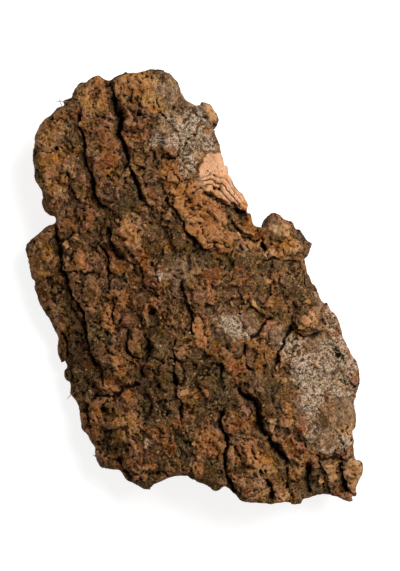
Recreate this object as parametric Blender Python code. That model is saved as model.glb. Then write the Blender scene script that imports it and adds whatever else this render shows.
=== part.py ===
"""A slab of virgin cork bark lying on its hollow side, as one closed solid.

The slab is a piece of the wall of a trunk. Its inner face is part of a cylinder
whose axis follows the grain, and its outer face is split by deep fissures into
overlapping ridges. Metres, +Z up, the table at Z = 0 and the slab's box centred
on the Z axis.
"""

import itertools

import bmesh
import bpy
import numpy as np
from mathutils import Vector
from mathutils.geometry import delaunay_2d_cdt

# Driving dimensions in metres
SLAB_LENGTH = 0.280  # along Y, from the top end to the bottom end
TRUNK_RADIUS = 0.140  # of the inner face
BARK_THICKNESS = 0.020  # between the two faces, before the relief
CROWN_HEIGHT = 0.0325  # of the inner face above the table, along its crest
CREST_OFFSET = -0.006  # the crest's place across the grain
GRAIN_LEAN = np.radians(17)  # the grain's top leans to -X by this much
INNER_SHARE = (0.955, 0.985)  # the inner face's size, across and along the grain, over the outer face's
EDGE_ROUND = 0.0050  # width of the rounding along the outer face's edge
EDGE_DROP = 0.38  # share of the thickness that this rounding takes away
UNDER_ROUND = 0.005  # width of the rounding along the inner face's edge
UNDER_RISE = 0.14  # share of the thickness that this rounding takes away
LEAST_WALL = 0.0045  # of bark left under the deepest fissure
SHARP_ANGLE = np.radians(38)  # edges of the bark that are sharper than this look broken
EDGE_ROUGHNESS = 0.0016  # how far the broken edge's layers stand in from each other

# Spacing of the points that the two faces are made from
OUTLINE_STEP = 0.0042
OUTER_STEP = 0.0038
INNER_STEP = 0.0085
FISSURE_STEP = 0.0042

# Places on the slab are read off the photograph, in its pixels: X to the right
# and Y downwards. PIXEL is the size of one on the slab.
OUTLINE = [
    (55, 223), (55, 217), (49, 215), (42, 205), (43, 196), (41, 189), (34, 179), (34, 171),
    (32.5, 158), (33, 150), (35, 143), (35, 137), (40, 127), (45, 120), (51, 116), (57, 109.5),
    (61, 107), (65, 107), (64.5, 103), (68, 100.5), (72.5, 99), (73.5, 94.5), (77, 89), (77.5, 86.5),
    (81, 84), (86, 84), (90, 80.5), (95, 77.5), (100, 77.5), (104, 80), (113, 80), (119, 78),
    (126, 74.5), (129, 75.5), (140, 74), (150, 71.5), (158, 71), (163, 72), (166, 74.5), (170, 75.5),
    (177, 81), (180, 88), (181, 93), (185, 99), (191, 103), (197, 106), (200, 106), (202.5, 103),
    (208, 104.5), (211, 107), (217, 115), (219, 121), (218, 124.5), (214.5, 129), (216, 137), (219, 143),
    (220, 149), (223, 163), (223.5, 166.5), (227, 167), (228, 173), (231, 180), (234, 185), (239, 190.5),
    (243, 193.5), (245, 198), (248.5, 203), (248, 209), (247, 213), (250.5, 215), (254, 225), (260, 227.5),
    (265, 227.5), (266, 222), (270, 215), (274, 212.5), (279, 214), (285, 218.5), (293, 223), (295, 229),
    (300, 231), (308, 240), (312, 243.5), (310, 249), (307, 256), (304.5, 258.5), (308, 264), (310, 273),
    (317, 289), (323, 303), (327, 303), (330, 309), (334, 312.5), (339, 320), (343.5, 338), (352, 354),
    (357, 361), (360, 370), (361, 377), (360, 385), (357, 393), (357, 397), (355, 403), (356, 426),
    (353, 432), (354, 442), (355, 454), (357, 460), (362, 461.5), (364, 466), (363, 473), (360, 481),
    (357.5, 487), (356, 495.5), (351.5, 496), (352, 501), (346, 501), (337, 497), (329, 495), (319, 495),
    (310, 496.5), (303.5, 498.5), (299.5, 502), (292, 503), (288, 501.5), (268, 502), (249, 501), (240, 499),
    (234, 492), (225, 485), (220, 487), (216, 489.5), (212, 488), (210, 485), (200, 480.5), (191, 477.5),
    (188, 475), (179, 475), (170, 478), (160, 481.5), (151.5, 485), (150.5, 489.5), (146, 489), (129, 482),
    (123, 476), (118, 470.5), (101, 468.5), (95, 458), (94.5, 449), (90, 442.5), (86.5, 435), (81, 430),
    (80, 423), (78, 408), (70, 395.5), (70, 388), (69, 383), (65, 380), (63, 371.5), (65, 369),
    (64, 361.5), (60.5, 362.5), (58, 357), (56.5, 346), (57, 335.5), (50, 324), (41, 308), (35, 293.5),
    (33, 287), (34, 280), (31, 278), (28, 261), (24.5, 251), (26, 244), (30.5, 239.5), (40, 231),
    (46, 227),
]

# Each fissure is a line on the outer face with its depth, half width and lip in
# millimetres. The bark stands higher by the lip on the left hand of someone who
# walks along the line, so a line that runs down the slab has its lip towards +X.
FISSURES = [
    ([(79, 111), (82, 120), (82, 128), (86, 136), (88, 146), (88, 156), (90, 164), (93, 173), (95, 184),
      (96, 194), (100, 203), (107, 208)], 9.0, 1.3, 4.0),
    ([(113, 81), (116, 92), (117, 103), (118, 112), (122, 119), (122, 129), (123, 139), (127, 148),
      (129, 158), (131, 168), (135, 178), (139, 188), (144, 199), (146, 208)], 10.0, 1.6, 3.5),
    ([(163, 197), (171, 205), (179, 212), (184, 221), (188, 230), (195, 241), (203, 248), (212, 252)],
     5.0, 1.2, 4.5),
    ([(200, 193), (212, 196), (219, 201), (228, 206), (236, 208), (243, 213), (251, 219)], 8.0, 1.8, 3.0),
    ([(228, 211), (231, 219), (236, 228), (243, 235), (252, 238), (260, 242), (266, 250)], 8.0, 1.9, 2.0),
    ([(75, 232), (68, 239), (62, 246)], 5.0, 1.1, 1.5),
    ([(56, 224), (57, 232), (60, 243), (63, 253), (65, 263), (64, 272), (67, 281), (72, 292), (80, 303),
      (83, 313), (86, 325), (88, 338), (91, 349), (96, 358), (99, 366), (102, 375), (106, 386)],
     9.0, 1.5, 3.5),
    ([(110, 229), (113, 238), (116, 248), (119, 255), (127, 258)], 8.0, 1.5, 3.0),
    ([(99, 242), (104, 248), (108, 256), (111, 263), (112, 272), (110, 283), (110, 292)], 8.0, 1.5, 1.5),
    ([(114, 296), (115, 310), (115, 322), (119, 331)], 6.0, 1.2, 1.0),
    ([(80, 279), (86, 274), (93, 272), (103, 277)], 5.0, 1.4, -2.0),
    ([(141, 264), (143, 273), (146, 284), (149, 293)], 4.0, 1.1, 1.5),
    ([(151, 334), (151, 344), (149, 353), (149, 362), (145, 371), (144, 381)], 8.0, 1.6, 2.5),
    ([(130, 331), (128, 340), (129, 350), (134, 357), (141, 359), (147, 355)], 5.0, 1.2, 2.0),
    ([(89, 403), (96, 398), (106, 396), (114, 398), (121, 394), (124, 388), (133, 386), (143, 383)],
     7.0, 1.6, -3.5),
    ([(89, 403), (89, 413), (88, 424)], 5.0, 1.1, 2.0),
    ([(175, 337), (177, 346), (178, 357), (176, 369), (177, 382), (178, 393), (182, 402), (182, 413),
      (180, 423)], 8.0, 1.2, 2.5),
    ([(183, 281), (184, 290), (187, 300), (191, 308), (192, 318), (191, 328), (194, 336)], 6.0, 1.1, 2.0),
    ([(222, 360), (223, 371), (222, 381)], 5.0, 1.1, 1.5),
    ([(228, 404), (221, 413), (220, 422), (226, 432), (227, 442), (224, 452), (225, 463), (227, 474),
      (232, 485), (239, 496)], 10.0, 1.6, 3.0),
    ([(236, 384), (240, 391), (247, 396), (254, 398), (258, 407), (260, 418), (262, 428), (268, 434),
      (274, 443), (280, 451), (286, 458), (284, 466)], 13.0, 2.2, 3.0),
    ([(272, 317), (266, 322), (260, 328), (256, 335), (248, 339)], 7.0, 1.3, 2.5),
    ([(296, 325), (291, 329), (286, 337), (283, 345), (278, 354), (277, 364), (278, 376)], 8.0, 1.4, 3.5),
    ([(242, 345), (243, 354), (246, 362), (250, 370)], 7.0, 1.5, 1.5),
    ([(314, 453), (322, 456), (332, 455), (341, 458), (348, 465)], 7.0, 2.2, 2.0),
    ([(347, 467), (344, 474), (345, 484), (348, 493)], 8.0, 1.8, 3.0),
    ([(258, 468), (263, 476), (269, 483), (274, 489), (273, 497)], 8.0, 1.8, 1.5),
    ([(119, 455), (122, 465), (127, 474), (133, 482)], 7.0, 1.6, 2.5),
]

# Knobs, swellings and the places where bark has broken away: centre, half width,
# half length and rise in millimetres. A negative rise is a hollow.
SWELLINGS = [
    ((55, 150), (22, 34), 3.5), ((97, 84), (9, 7), 2.0), ((80, 92), (7, 8), 1.5),
    ((97, 150), (10, 16), 2.0), ((140, 88), (18, 10), 2.0), ((128, 106), (8, 7), 2.5),
    ((211, 115), (7, 11), 5.0), ((284, 232), (16, 16), 4.0), ((42, 250), (14, 22), 2.5),
    ((93, 286), (10, 9), 2.5), ((137, 343), (8, 12), 2.5), ((207, 435), (12, 14), 3.0),
    ((307, 321), (7, 9), 3.0), ((356, 474), (7, 14), 4.0), ((300, 476), (4, 10), 3.0),
    ((332, 478), (9, 12), 4.0), ((283, 492), (6, 8), 2.5), ((135, 236), (14, 17), 3.0),
    ((140, 425), (34, 22), 2.0), ((320, 385), (25, 45), 2.5), ((320, 488), (42, 22), -9.0),
    ((242, 188), (12, 32), -6.0), ((62, 352), (10, 40), -5.0), ((158, 232), (18, 26), -3.0),
    ((232, 262), (28, 12), -2.5), ((124, 118), (4, 6), -6.0), ((153, 313), (4, 8), -7.0),
    ((292, 312), (6, 14), -3.0), ((338, 355), (4, 6), -5.0), ((290, 256), (9, 3), -4.0),
    ((310, 484), (4, 11), -5.0), ((150, 472), (14, 3), -4.0), ((136, 131), (6, 3), -4.0),
]

# The slab stands on three worn spots of its edge: place, radius and drop in
# millimetres
FEET = [((42, 251), 13.0, 9.0), ((104, 449), 13.0, 10.5), ((297, 241), 13.0, 10.5)]
FOOT_FLAT = 0.0045  # radius of the flat under each

PIXEL = SLAB_LENGTH / np.ptp(np.array(OUTLINE)[:, 1])
MM = 0.001

# Roughness of the outer face: size across the grain, size along it, height
ROUGHNESS = [(0.026, 0.075, 0.0030), (0.011, 0.024, 0.0018), (0.0065, 0.0100, 0.0010)]
# Plates of bark that overlap each other: width, length over width, height, crack
PLATES = [(0.017, 1.8, 0.0022, 0.0024), (0.0085, 1.4, 0.0011, 0.0009)]
# Lesser cracks that wander along the grain: spacing, length over spacing, depth
CRACKS = [(0.019, 3.6, 0.0030), (0.010, 2.6, 0.0016)]
# Ribs of the inner face along the grain, and its lesser bumps: sizes, then height
INNER_RIBS = (0.020, 0.060, 0.0016)
INNER_BUMPS = (0.011, 0.0007)

VALLEY_SHARE = 0.36  # the part of a fissure's depth that belongs to its wide valley
VALLEY_WIDTH = 3.4  # over the fissure's own width
END_SHARE = 0.12  # the share of a fissure's length over which each end runs out
# Beside a fissure, on its high side and on its low side
LIP_RISE = (0.80, -0.45)  # over the fissure's lip
LIP_REACH = (0.014, 0.010)  # how far each slopes away

# Rows of points beside a fissure's floor, in its half widths, and along the rounded
# edge, in widths of the rounding
FISSURE_ROWS = (0, -1.35, 1.35)
EDGE_ROWS = (0.22, 0.75)
LEAST_GAP = 0.0011  # between two points of these rows


def on_slab(places):
    """Pixels of the photograph as metres on the table, with the slab's box centred."""
    rim = np.array(OUTLINE, float)
    centre = (rim.min(axis=0) + rim.max(axis=0)) / 2
    return (np.array(places, float) - centre) * PIXEL * (1, -1)


def along_and_across(places):
    """Distances across the grain from the crest, and along the grain."""
    across = places[:, 0] * np.cos(GRAIN_LEAN) + places[:, 1] * np.sin(GRAIN_LEAN) - CREST_OFFSET
    along = places[:, 1] * np.cos(GRAIN_LEAN) - places[:, 0] * np.sin(GRAIN_LEAN)
    return across, along


def gradient_noise(places, seed):
    """Smooth noise between about -1 and 1 over cells one unit wide."""
    places = np.column_stack([places, np.zeros((len(places), 3 - places.shape[1]))])
    chance = np.random.default_rng(seed)
    slopes = chance.normal(size=(256, 3))
    slopes /= np.linalg.norm(slopes, axis=1)[:, None]
    shuffle = chance.permutation(256)
    cell = np.floor(places).astype(int)
    inside = places - cell
    fade = inside**3 * (inside * (inside * 6 - 15) + 10)
    total = np.zeros(len(places))
    for corner in itertools.product((0, 1), repeat=3):
        key = np.zeros(len(places), int)
        for axis in range(3):
            key = shuffle[(key + cell[:, axis] + corner[axis]) & 255]
        weight = np.prod(np.where(corner, fade, 1 - fade), axis=1)
        total += weight * np.einsum("ij,ij->i", slopes[key], inside - corner)
    return total * 1.6


def cell_plates(places, seed):
    """For each place, the height of the bark plate that it is on, from -1 to 1,
    and its distance from the plate's edge, over plates one unit wide."""
    chance = np.random.default_rng(seed)
    shift = chance.uniform(-0.42, 0.42, size=(64, 64, 2))
    height = chance.uniform(-1, 1, size=(64, 64))
    home = np.floor(places).astype(int)
    nearest = np.full(len(places), 9.0)
    second = np.full(len(places), 9.0)
    level = np.zeros(len(places))
    for step in itertools.product((-1, 0, 1), repeat=2):
        cell = home + step
        key = (cell[:, 0] & 63, cell[:, 1] & 63)
        gap = np.linalg.norm(cell + 0.5 + shift[key] - places, axis=1)
        closer = gap < nearest
        second = np.where(closer, nearest, np.minimum(second, gap))
        level = np.where(closer, height[key], level)
        nearest = np.where(closer, gap, nearest)
    return level, second - nearest


def from_line(places, line):
    """Distance from a line, the side on which each place lies (1 on the line's
    left hand) and how far along the line its nearest point is, from 0 to 1."""
    steps = np.linalg.norm(np.diff(line, axis=0), axis=1)
    run = np.concatenate([[0], np.cumsum(steps)]) / steps.sum()
    best = np.full(len(places), np.inf)
    side = np.zeros(len(places))
    share = np.zeros(len(places))
    for start, end, first, last in zip(line[:-1], line[1:], run[:-1], run[1:]):
        way = end - start
        reach = places - start
        t = np.clip(reach @ way / (way @ way), 0, 1)
        gap = np.linalg.norm(reach - t[:, None] * way, axis=1)
        closer = gap < best
        best = np.where(closer, gap, best)
        side = np.where(closer, np.sign(way[0] * reach[:, 1] - way[1] * reach[:, 0]), side)
        share = np.where(closer, first + t * (last - first), share)
    return best, side, share


def fissure_relief(places, fissure):
    """The groove of a fissure, with the lip of bark that overhangs it."""
    line, depth, half_width, lip = fissure
    gap, side, share = from_line(places, on_slab(line))
    fade = np.clip(np.minimum(share, 1 - share) / END_SHARE, 0, 1) ** 0.6
    narrow = np.exp(-((gap / (half_width * MM)) ** 2.2))
    wide = np.exp(-((gap / (VALLEY_WIDTH * half_width * MM)) ** 1.6))
    groove = -depth * MM * ((1 - VALLEY_SHARE) * narrow + VALLEY_SHARE * wide)
    raised = np.sign(lip) == side
    reach = np.where(raised, *LIP_REACH)
    height = np.where(raised, *LIP_RISE) * abs(lip) * MM
    return fade * (groove + height * np.exp(-gap / reach))


def swelling_relief(places, swelling):
    centre, half_size, rise = swelling
    offset = (places - on_slab(centre)) / (np.array(half_size) * PIXEL)
    distance = np.linalg.norm(offset, axis=1)
    return rise * MM * np.exp(-(distance**2.6))


def outer_relief(places):
    """Height of the outer face above the plain curve of the trunk."""
    across, along = along_and_across(places)
    relief = np.zeros(len(places))
    for fissure in FISSURES:
        relief += fissure_relief(places, fissure)
    for swelling in SWELLINGS:
        relief += swelling_relief(places, swelling)
    for seed, (width, length, height) in enumerate(ROUGHNESS):
        relief += height * gradient_noise(np.column_stack([across / width, along / length]), seed + 1)
    for seed, (width, stretch, height, crack) in enumerate(PLATES):
        bend = [0.5 * gradient_noise(places / (0.8 * width), 11 + 4 * seed + i) for i in (0, 1)]
        grid = np.column_stack([across, along / stretch]) / width + np.column_stack(bend)
        level, edge = cell_plates(grid, 31 + seed)
        relief += height * level - crack * np.exp(-edge / 0.12)
    for seed, (spacing, stretch, depth) in enumerate(CRACKS):
        wander = 0.35 * gradient_noise(places / 0.014, 41 + seed)
        grid = np.column_stack([across, along / stretch]) / spacing
        grid[:, 0] += wander
        relief -= depth * np.exp(-np.abs(gradient_noise(grid, 51 + seed)) / 0.07)
    return relief


def smooth_loop(points, spacing):
    """Evenly spaced points along a closed Catmull-Rom curve through the points."""
    dense = []
    for i in range(len(points)):
        a, b, c, d = (points[(i + k) % len(points)] for k in (-1, 0, 1, 2))
        for t in np.linspace(0, 1, 12, endpoint=False):
            dense.append(
                0.5 * (2 * b + (c - a) * t + (2 * a - 5 * b + 4 * c - d) * t**2
                       + (3 * b - a - 3 * c + d) * t**3)
            )
    return even_points(np.array(dense + dense[:1]), spacing)[:-1]


def even_points(line, spacing):
    """Points along an open line, close to one spacing apart, with both of its ends."""
    run = np.concatenate([[0], np.cumsum(np.linalg.norm(np.diff(line, axis=0), axis=1))])
    marks = np.linspace(0, run[-1], max(2, round(run[-1] / spacing) + 1))
    return np.column_stack([np.interp(marks, run, line[:, axis]) for axis in (0, 1)])


def left_of(line):
    """Unit vectors pointing to the left hand of a line at each of its points."""
    way = np.gradient(line, axis=0)
    way /= np.linalg.norm(way, axis=1)[:, None]
    return np.column_stack([-way[:, 1], way[:, 0]])


def spread_points(rim, spacing, seed):
    """Points about one spacing apart all over the outline's box, a little shaken."""
    low, high = rim.min(axis=0), rim.max(axis=0)
    rows = np.arange(low[1], high[1], spacing * 0.87)
    grid = [
        (x + (spacing / 2 if i % 2 else 0), y)
        for i, y in enumerate(rows)
        for x in np.arange(low[0], high[0], spacing)
    ]
    shake = np.random.default_rng(seed).uniform(-0.18, 0.18, size=(len(grid), 2))
    return np.array(grid) + shake * spacing


def inside_rim(points, rim, margin):
    """The points that lie inside the outline, at least a margin from it."""
    gap, side, _ = from_line(points, np.vstack([rim, rim[:1]]))
    turns = np.zeros(len(points), bool)
    for start, end in zip(rim, np.roll(rim, -1, axis=0)):
        crosses = (start[1] > points[:, 1]) != (end[1] > points[:, 1])
        rise = np.where(crosses, end[1] - start[1], 1)
        at = start[0] + (points[:, 1] - start[1]) / rise * (end[0] - start[0])
        turns ^= crosses & (points[:, 0] < at)
    return points[turns & (gap >= margin)]


def thin_out(points, spacing):
    """Drops each point that comes closer than the spacing to one before it."""
    kept, taken = [], {}
    for point in points:
        cell = tuple(np.floor(point / spacing).astype(int))
        around = [taken[key] for key in itertools.product(*[(c - 1, c, c + 1) for c in cell]) if key in taken]
        if all(np.linalg.norm(point - other) >= spacing for near in around for other in near):
            taken.setdefault(cell, []).append(point)
            kept.append(point)
    return np.array(kept)


def outer_points(rim):
    """Where the outer face gets its points: along each fissure's floor and both of
    its lips, in two rows round the rounded edge, and evenly in between."""
    rows = []
    for line, _, half_width, _ in FISSURES:
        floor = even_points(on_slab(line), FISSURE_STEP)
        for offset in FISSURE_ROWS:
            rows.append(floor + left_of(floor) * offset * half_width * MM)
    for share in EDGE_ROWS:
        rows.append(rim + inward_normals(rim) * EDGE_ROUND * share)
    special = inside_rim(thin_out(np.vstack(rows), LEAST_GAP), rim, 0.8 * LEAST_GAP)
    plain = inside_rim(spread_points(rim, OUTER_STEP, 5), rim, OUTER_STEP * 0.5)
    gap = np.array([np.linalg.norm(special - point, axis=1).min() for point in plain])
    return np.vstack([special, plain[gap > OUTER_STEP * 0.62]])


def inner_rim(rim):
    """The inner face's outline: the broken edge leans in, as it does on a trunk."""
    across, along = along_and_across(rim)
    across = across * INNER_SHARE[0] + CREST_OFFSET
    along = along * INNER_SHARE[1]
    x = across * np.cos(GRAIN_LEAN) - along * np.sin(GRAIN_LEAN)
    y = across * np.sin(GRAIN_LEAN) + along * np.cos(GRAIN_LEAN)
    return np.column_stack([x, y])


def inner_height(places, rim):
    """Height of the inner face: the vault over the table, worn flat at the feet."""
    across, along = along_and_across(places)
    width, length, height = INNER_RIBS
    size, bump = INNER_BUMPS
    vault = np.sqrt(TRUNK_RADIUS**2 - across**2) - TRUNK_RADIUS + CROWN_HEIGHT
    vault += height * gradient_noise(np.column_stack([across / width, along / length]), 21)
    vault += bump * gradient_noise(places / size, 22)
    gap = from_line(places, np.vstack([rim, rim[:1]]))[0]
    rise = UNDER_RISE * BARK_THICKNESS * edge_curve(gap, UNDER_ROUND)
    for place, radius, drop in FEET:
        distance = np.linalg.norm(places - on_slab(place), axis=1)
        foot = np.exp(-((distance / (radius * MM)) ** 4))
        vault -= drop * MM * foot
        rise *= 1 - foot
    return np.maximum(vault + rise, 0)


def inner_points(rim):
    """Where the inner face gets its points: a ring round the flat of each foot, and
    evenly in between."""
    turns = np.arange(6) * np.pi / 3
    ring = np.column_stack([np.cos(turns), np.sin(turns)]) * FOOT_FLAT
    feet = np.vstack([on_slab(place) + np.vstack([ring, [0, 0]]) for place, _, _ in FEET])
    plain = inside_rim(spread_points(rim, INNER_STEP, 6), rim, INNER_STEP * 0.4)
    gap = np.array([np.linalg.norm(feet - point, axis=1).min() for point in plain])
    return np.vstack([feet, plain[gap > INNER_STEP * 0.55]])


def edge_curve(gap, width):
    """A quarter of an ellipse: 1 on the outline, falling to 0 at the width."""
    share = np.clip(1 - gap / width, 0, 1)
    return 1 - np.sqrt(1 - share**2)


def outer_height(places, rim):
    """Height of the outer face, rounded off along the slab's edge."""
    across, _ = along_and_across(places)
    radius = TRUNK_RADIUS + BARK_THICKNESS
    trunk = np.sqrt(radius**2 - across**2) - TRUNK_RADIUS + CROWN_HEIGHT
    top = trunk + outer_relief(places)
    gap = from_line(places, np.vstack([rim, rim[:1]]))[0]
    under = inner_height(places, inner_rim(rim))
    top -= EDGE_DROP * (top - under) * edge_curve(gap, EDGE_ROUND)
    return np.maximum(top, under + LEAST_WALL)


def triangulate(rim, points):
    """Triangles over the outline through all the points. The outline's own points
    keep the first places in the list of vertices."""
    flat = np.vstack([rim, points])
    _, _, faces, sources, _, _ = delaunay_2d_cdt(
        [Vector(point) for point in flat], [], [list(range(len(rim)))], 1, 1e-7
    )
    place = [min(source) for source in sources]
    return flat, [[place[i] for i in face] for face in faces]


def add_sheet(mesh, places, heights, faces, face_up):
    verts = [mesh.verts.new((x, y, z)) for (x, y), z in zip(places, heights)]
    for face in faces:
        corners = [verts[i] for i in face]
        mesh.faces.new(corners if face_up else corners[::-1])
    return verts


def inward_normals(rim):
    """Unit vectors that point into the slab from an outline that runs to the left."""
    return left_of(np.vstack([rim[-1:], rim, rim[:1]]))[1:-1]


def add_wall(mesh, upper, lower, rim, rows):
    """The broken edge between the two faces, in rows of quads. Its layers end
    unevenly, none of them outside the outline."""
    count = len(upper)
    inward = inward_normals(rim)
    loops = [upper]
    for row in range(1, rows):
        share = row / rows
        ragged = 0.5 + 0.5 * np.abs(gradient_noise(rim / 0.009 + 7 * row, 60 + row))
        shift = inward * (EDGE_ROUGHNESS * ragged)[:, None] * (1 if row % 2 else 0.2)
        middle = [a.co.lerp(b.co, share) for a, b in zip(upper, lower)]
        loops.append([mesh.verts.new(m + Vector((x, y, 0))) for m, (x, y) in zip(middle, shift)])
    loops.append(lower)
    for above, below in zip(loops[:-1], loops[1:]):
        for i in range(count):
            k = (i + 1) % count
            mesh.faces.new((above[k], above[i], below[i], below[k]))


def bark_material():
    material = bpy.data.materials.new("cork_bark")
    material.use_nodes = True
    shader = material.node_tree.nodes["Principled BSDF"]
    shader.inputs["Base Color"].default_value = (0.19, 0.09, 0.037, 1)
    shader.inputs["Roughness"].default_value = 0.93
    shader.inputs["Metallic"].default_value = 0
    return material


def make_slab(collection):
    rim = smooth_loop(on_slab(OUTLINE), OUTLINE_STEP)
    if np.cross(rim, np.roll(rim, -1, axis=0)).sum() < 0:
        rim = rim[::-1]
    rim -= (rim.min(axis=0) + rim.max(axis=0)) / 2

    mesh = bmesh.new()
    low_rim = inner_rim(rim)
    outer, outer_faces = triangulate(rim, outer_points(rim))
    inner, inner_faces = triangulate(low_rim, inner_points(low_rim))
    upper = add_sheet(mesh, outer, outer_height(outer, rim), outer_faces, True)
    lower = add_sheet(mesh, inner, inner_height(inner, low_rim), inner_faces, False)
    add_wall(mesh, upper[: len(rim)], lower[: len(rim)], rim, 3)

    data = bpy.data.meshes.new("cork_bark_slab")
    mesh.to_mesh(data)
    mesh.free()
    data.materials.append(bark_material())
    data.shade_smooth()
    data.set_sharp_from_angle(angle=SHARP_ANGLE)
    slab = bpy.data.objects.new("cork_bark_slab", data)
    collection.objects.link(slab)
    return slab


def main():
    for old in list(bpy.data.objects):
        bpy.data.objects.remove(old)
    collection = bpy.data.collections.new("cork_bark_slab")
    bpy.context.scene.collection.children.link(collection)
    make_slab(collection)


main()
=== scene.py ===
"""Finish of an arched slab of virgin cork bark.

The solid slab is the frame. Here it gets its real surface: the fissures and plates
of the outer face at full sharpness, the layers of the broken edge, the smoother
inner face, loose scales, crumbs and root fibres, the bark's colours, and a plain
studio seen from straight above. Run it as a script. Metres, +Z up.
"""

import itertools

import bmesh
import bpy
import numpy as np
from bpy.props import FloatProperty, FloatVectorProperty, IntProperty, PointerProperty
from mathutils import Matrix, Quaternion, Vector
from mathutils.bvhtree import BVHTree
from mathutils.geometry import delaunay_2d_cdt


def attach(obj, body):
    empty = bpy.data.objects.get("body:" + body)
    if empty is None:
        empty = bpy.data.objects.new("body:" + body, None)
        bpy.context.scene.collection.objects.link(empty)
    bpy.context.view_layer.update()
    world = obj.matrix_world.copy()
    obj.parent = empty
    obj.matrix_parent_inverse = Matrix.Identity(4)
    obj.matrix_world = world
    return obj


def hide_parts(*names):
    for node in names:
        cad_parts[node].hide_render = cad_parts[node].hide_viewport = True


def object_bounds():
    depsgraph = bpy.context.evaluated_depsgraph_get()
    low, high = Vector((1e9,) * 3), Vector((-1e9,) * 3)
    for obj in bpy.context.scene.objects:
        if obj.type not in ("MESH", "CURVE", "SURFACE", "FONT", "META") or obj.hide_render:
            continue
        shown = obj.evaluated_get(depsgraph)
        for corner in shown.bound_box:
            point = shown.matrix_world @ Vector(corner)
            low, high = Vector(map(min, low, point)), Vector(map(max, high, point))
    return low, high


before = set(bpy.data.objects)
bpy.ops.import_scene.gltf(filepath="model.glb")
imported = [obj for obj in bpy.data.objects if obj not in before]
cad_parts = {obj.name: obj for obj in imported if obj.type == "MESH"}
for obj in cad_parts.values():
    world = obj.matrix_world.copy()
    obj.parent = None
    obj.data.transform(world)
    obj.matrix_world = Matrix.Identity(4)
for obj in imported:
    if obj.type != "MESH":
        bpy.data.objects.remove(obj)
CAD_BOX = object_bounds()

bl_info = {
    "name": "Cork Bark Slab",
    "version": (1, 0, 0),
    "blender": (4, 5, 0),
    "location": "3D View > Sidebar > Cork Bark",
    "description": "Gives a slab of cork bark its fissured surface, its colours and a plain studio",
    "category": "Object",
}

NODE = "cork_bark_slab"
BODY = "root"
MM = 0.001

# The slab's main form, in the values that its solid is built with
SLAB_LENGTH = CAD_BOX[1].y - CAD_BOX[0].y
TRUNK_RADIUS = 0.140  # of the inner face
BARK_THICKNESS = 0.020  # between the two faces, before the relief
CROWN_HEIGHT = 0.0325  # of the inner face above the table, along its crest
CREST_OFFSET = -0.006  # the crest's place across the grain
GRAIN_LEAN = np.radians(17)  # the grain's top leans to -X by this much
INNER_SHARE = (0.955, 0.985)  # size of the inner face over the outer's, across the grain and along it
EDGE_ROUND = 0.0050  # width of the rounding along the outer face's edge
EDGE_DROP = 0.38  # share of the thickness that this rounding takes away
UNDER_ROUND = 0.005  # width of the rounding along the inner face's edge
UNDER_RISE = 0.14  # share of the thickness that this rounding takes away
LEAST_WALL = 0.0045  # of bark left under the deepest fissure
INNER_RIBS = (0.020, 0.060, 0.0016)  # width across the grain, length along it, height
INNER_BUMPS = (0.011, 0.0007)  # size, height

GUIDE_STEP = 0.0042  # spacing of the coarse outline that distances are taken from
ROW_SPACING = 0.87  # of rows of points, over the points' own spacing
SHAKE = 0.18  # how far a point may lie from its place in the row, over the spacing

# Places on the slab are given in pixels of a picture of it from above, 400 wide and
# 571 high: X to the right and Y downwards.
OUTLINE = [
    (55, 223), (55, 217), (49, 215), (42, 205), (43, 196), (41, 189), (34, 179), (34, 171),
    (32.5, 158), (33, 150), (35, 143), (35, 137), (40, 127), (45, 120), (51, 116), (57, 109.5),
    (61, 107), (65, 107), (64.5, 103), (68, 100.5), (72.5, 99), (73.5, 94.5), (77, 89), (77.5, 86.5),
    (81, 84), (86, 84), (90, 80.5), (95, 77.5), (100, 77.5), (104, 80), (113, 80), (119, 78),
    (126, 74.5), (129, 75.5), (140, 74), (150, 71.5), (158, 71), (163, 72), (166, 74.5), (170, 75.5),
    (177, 81), (180, 88), (181, 93), (185, 99), (191, 103), (197, 106), (200, 106), (202.5, 103),
    (208, 104.5), (211, 107), (217, 115), (219, 121), (218, 124.5), (214.5, 129), (216, 137), (219, 143),
    (220, 149), (223, 163), (223.5, 166.5), (227, 167), (228, 173), (231, 180), (234, 185), (239, 190.5),
    (243, 193.5), (245, 198), (248.5, 203), (248, 209), (247, 213), (250.5, 215), (254, 225), (260, 227.5),
    (265, 227.5), (266, 222), (270, 215), (274, 212.5), (279, 214), (285, 218.5), (293, 223), (295, 229),
    (300, 231), (308, 240), (312, 243.5), (310, 249), (307, 256), (304.5, 258.5), (308, 264), (310, 273),
    (317, 289), (323, 303), (327, 303), (330, 309), (334, 312.5), (339, 320), (343.5, 338), (352, 354),
    (357, 361), (360, 370), (361, 377), (360, 385), (357, 393), (357, 397), (355, 403), (356, 426),
    (353, 432), (354, 442), (355, 454), (357, 460), (362, 461.5), (364, 466), (363, 473), (360, 481),
    (357.5, 487), (356, 495.5), (351.5, 496), (352, 501), (346, 501), (337, 497), (329, 495), (319, 495),
    (310, 496.5), (303.5, 498.5), (299.5, 502), (292, 503), (288, 501.5), (268, 502), (249, 501), (240, 499),
    (234, 492), (225, 485), (220, 487), (216, 489.5), (212, 488), (210, 485), (200, 480.5), (191, 477.5),
    (188, 475), (179, 475), (170, 478), (160, 481.5), (151.5, 485), (150.5, 489.5), (146, 489), (129, 482),
    (123, 476), (118, 470.5), (101, 468.5), (95, 458), (94.5, 449), (90, 442.5), (86.5, 435), (81, 430),
    (80, 423), (78, 408), (70, 395.5), (70, 388), (69, 383), (65, 380), (63, 371.5), (65, 369),
    (64, 361.5), (60.5, 362.5), (58, 357), (56.5, 346), (57, 335.5), (50, 324), (41, 308), (35, 293.5),
    (33, 287), (34, 280), (31, 278), (28, 261), (24.5, 251), (26, 244), (30.5, 239.5), (40, 231),
    (46, 227),
]

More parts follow.
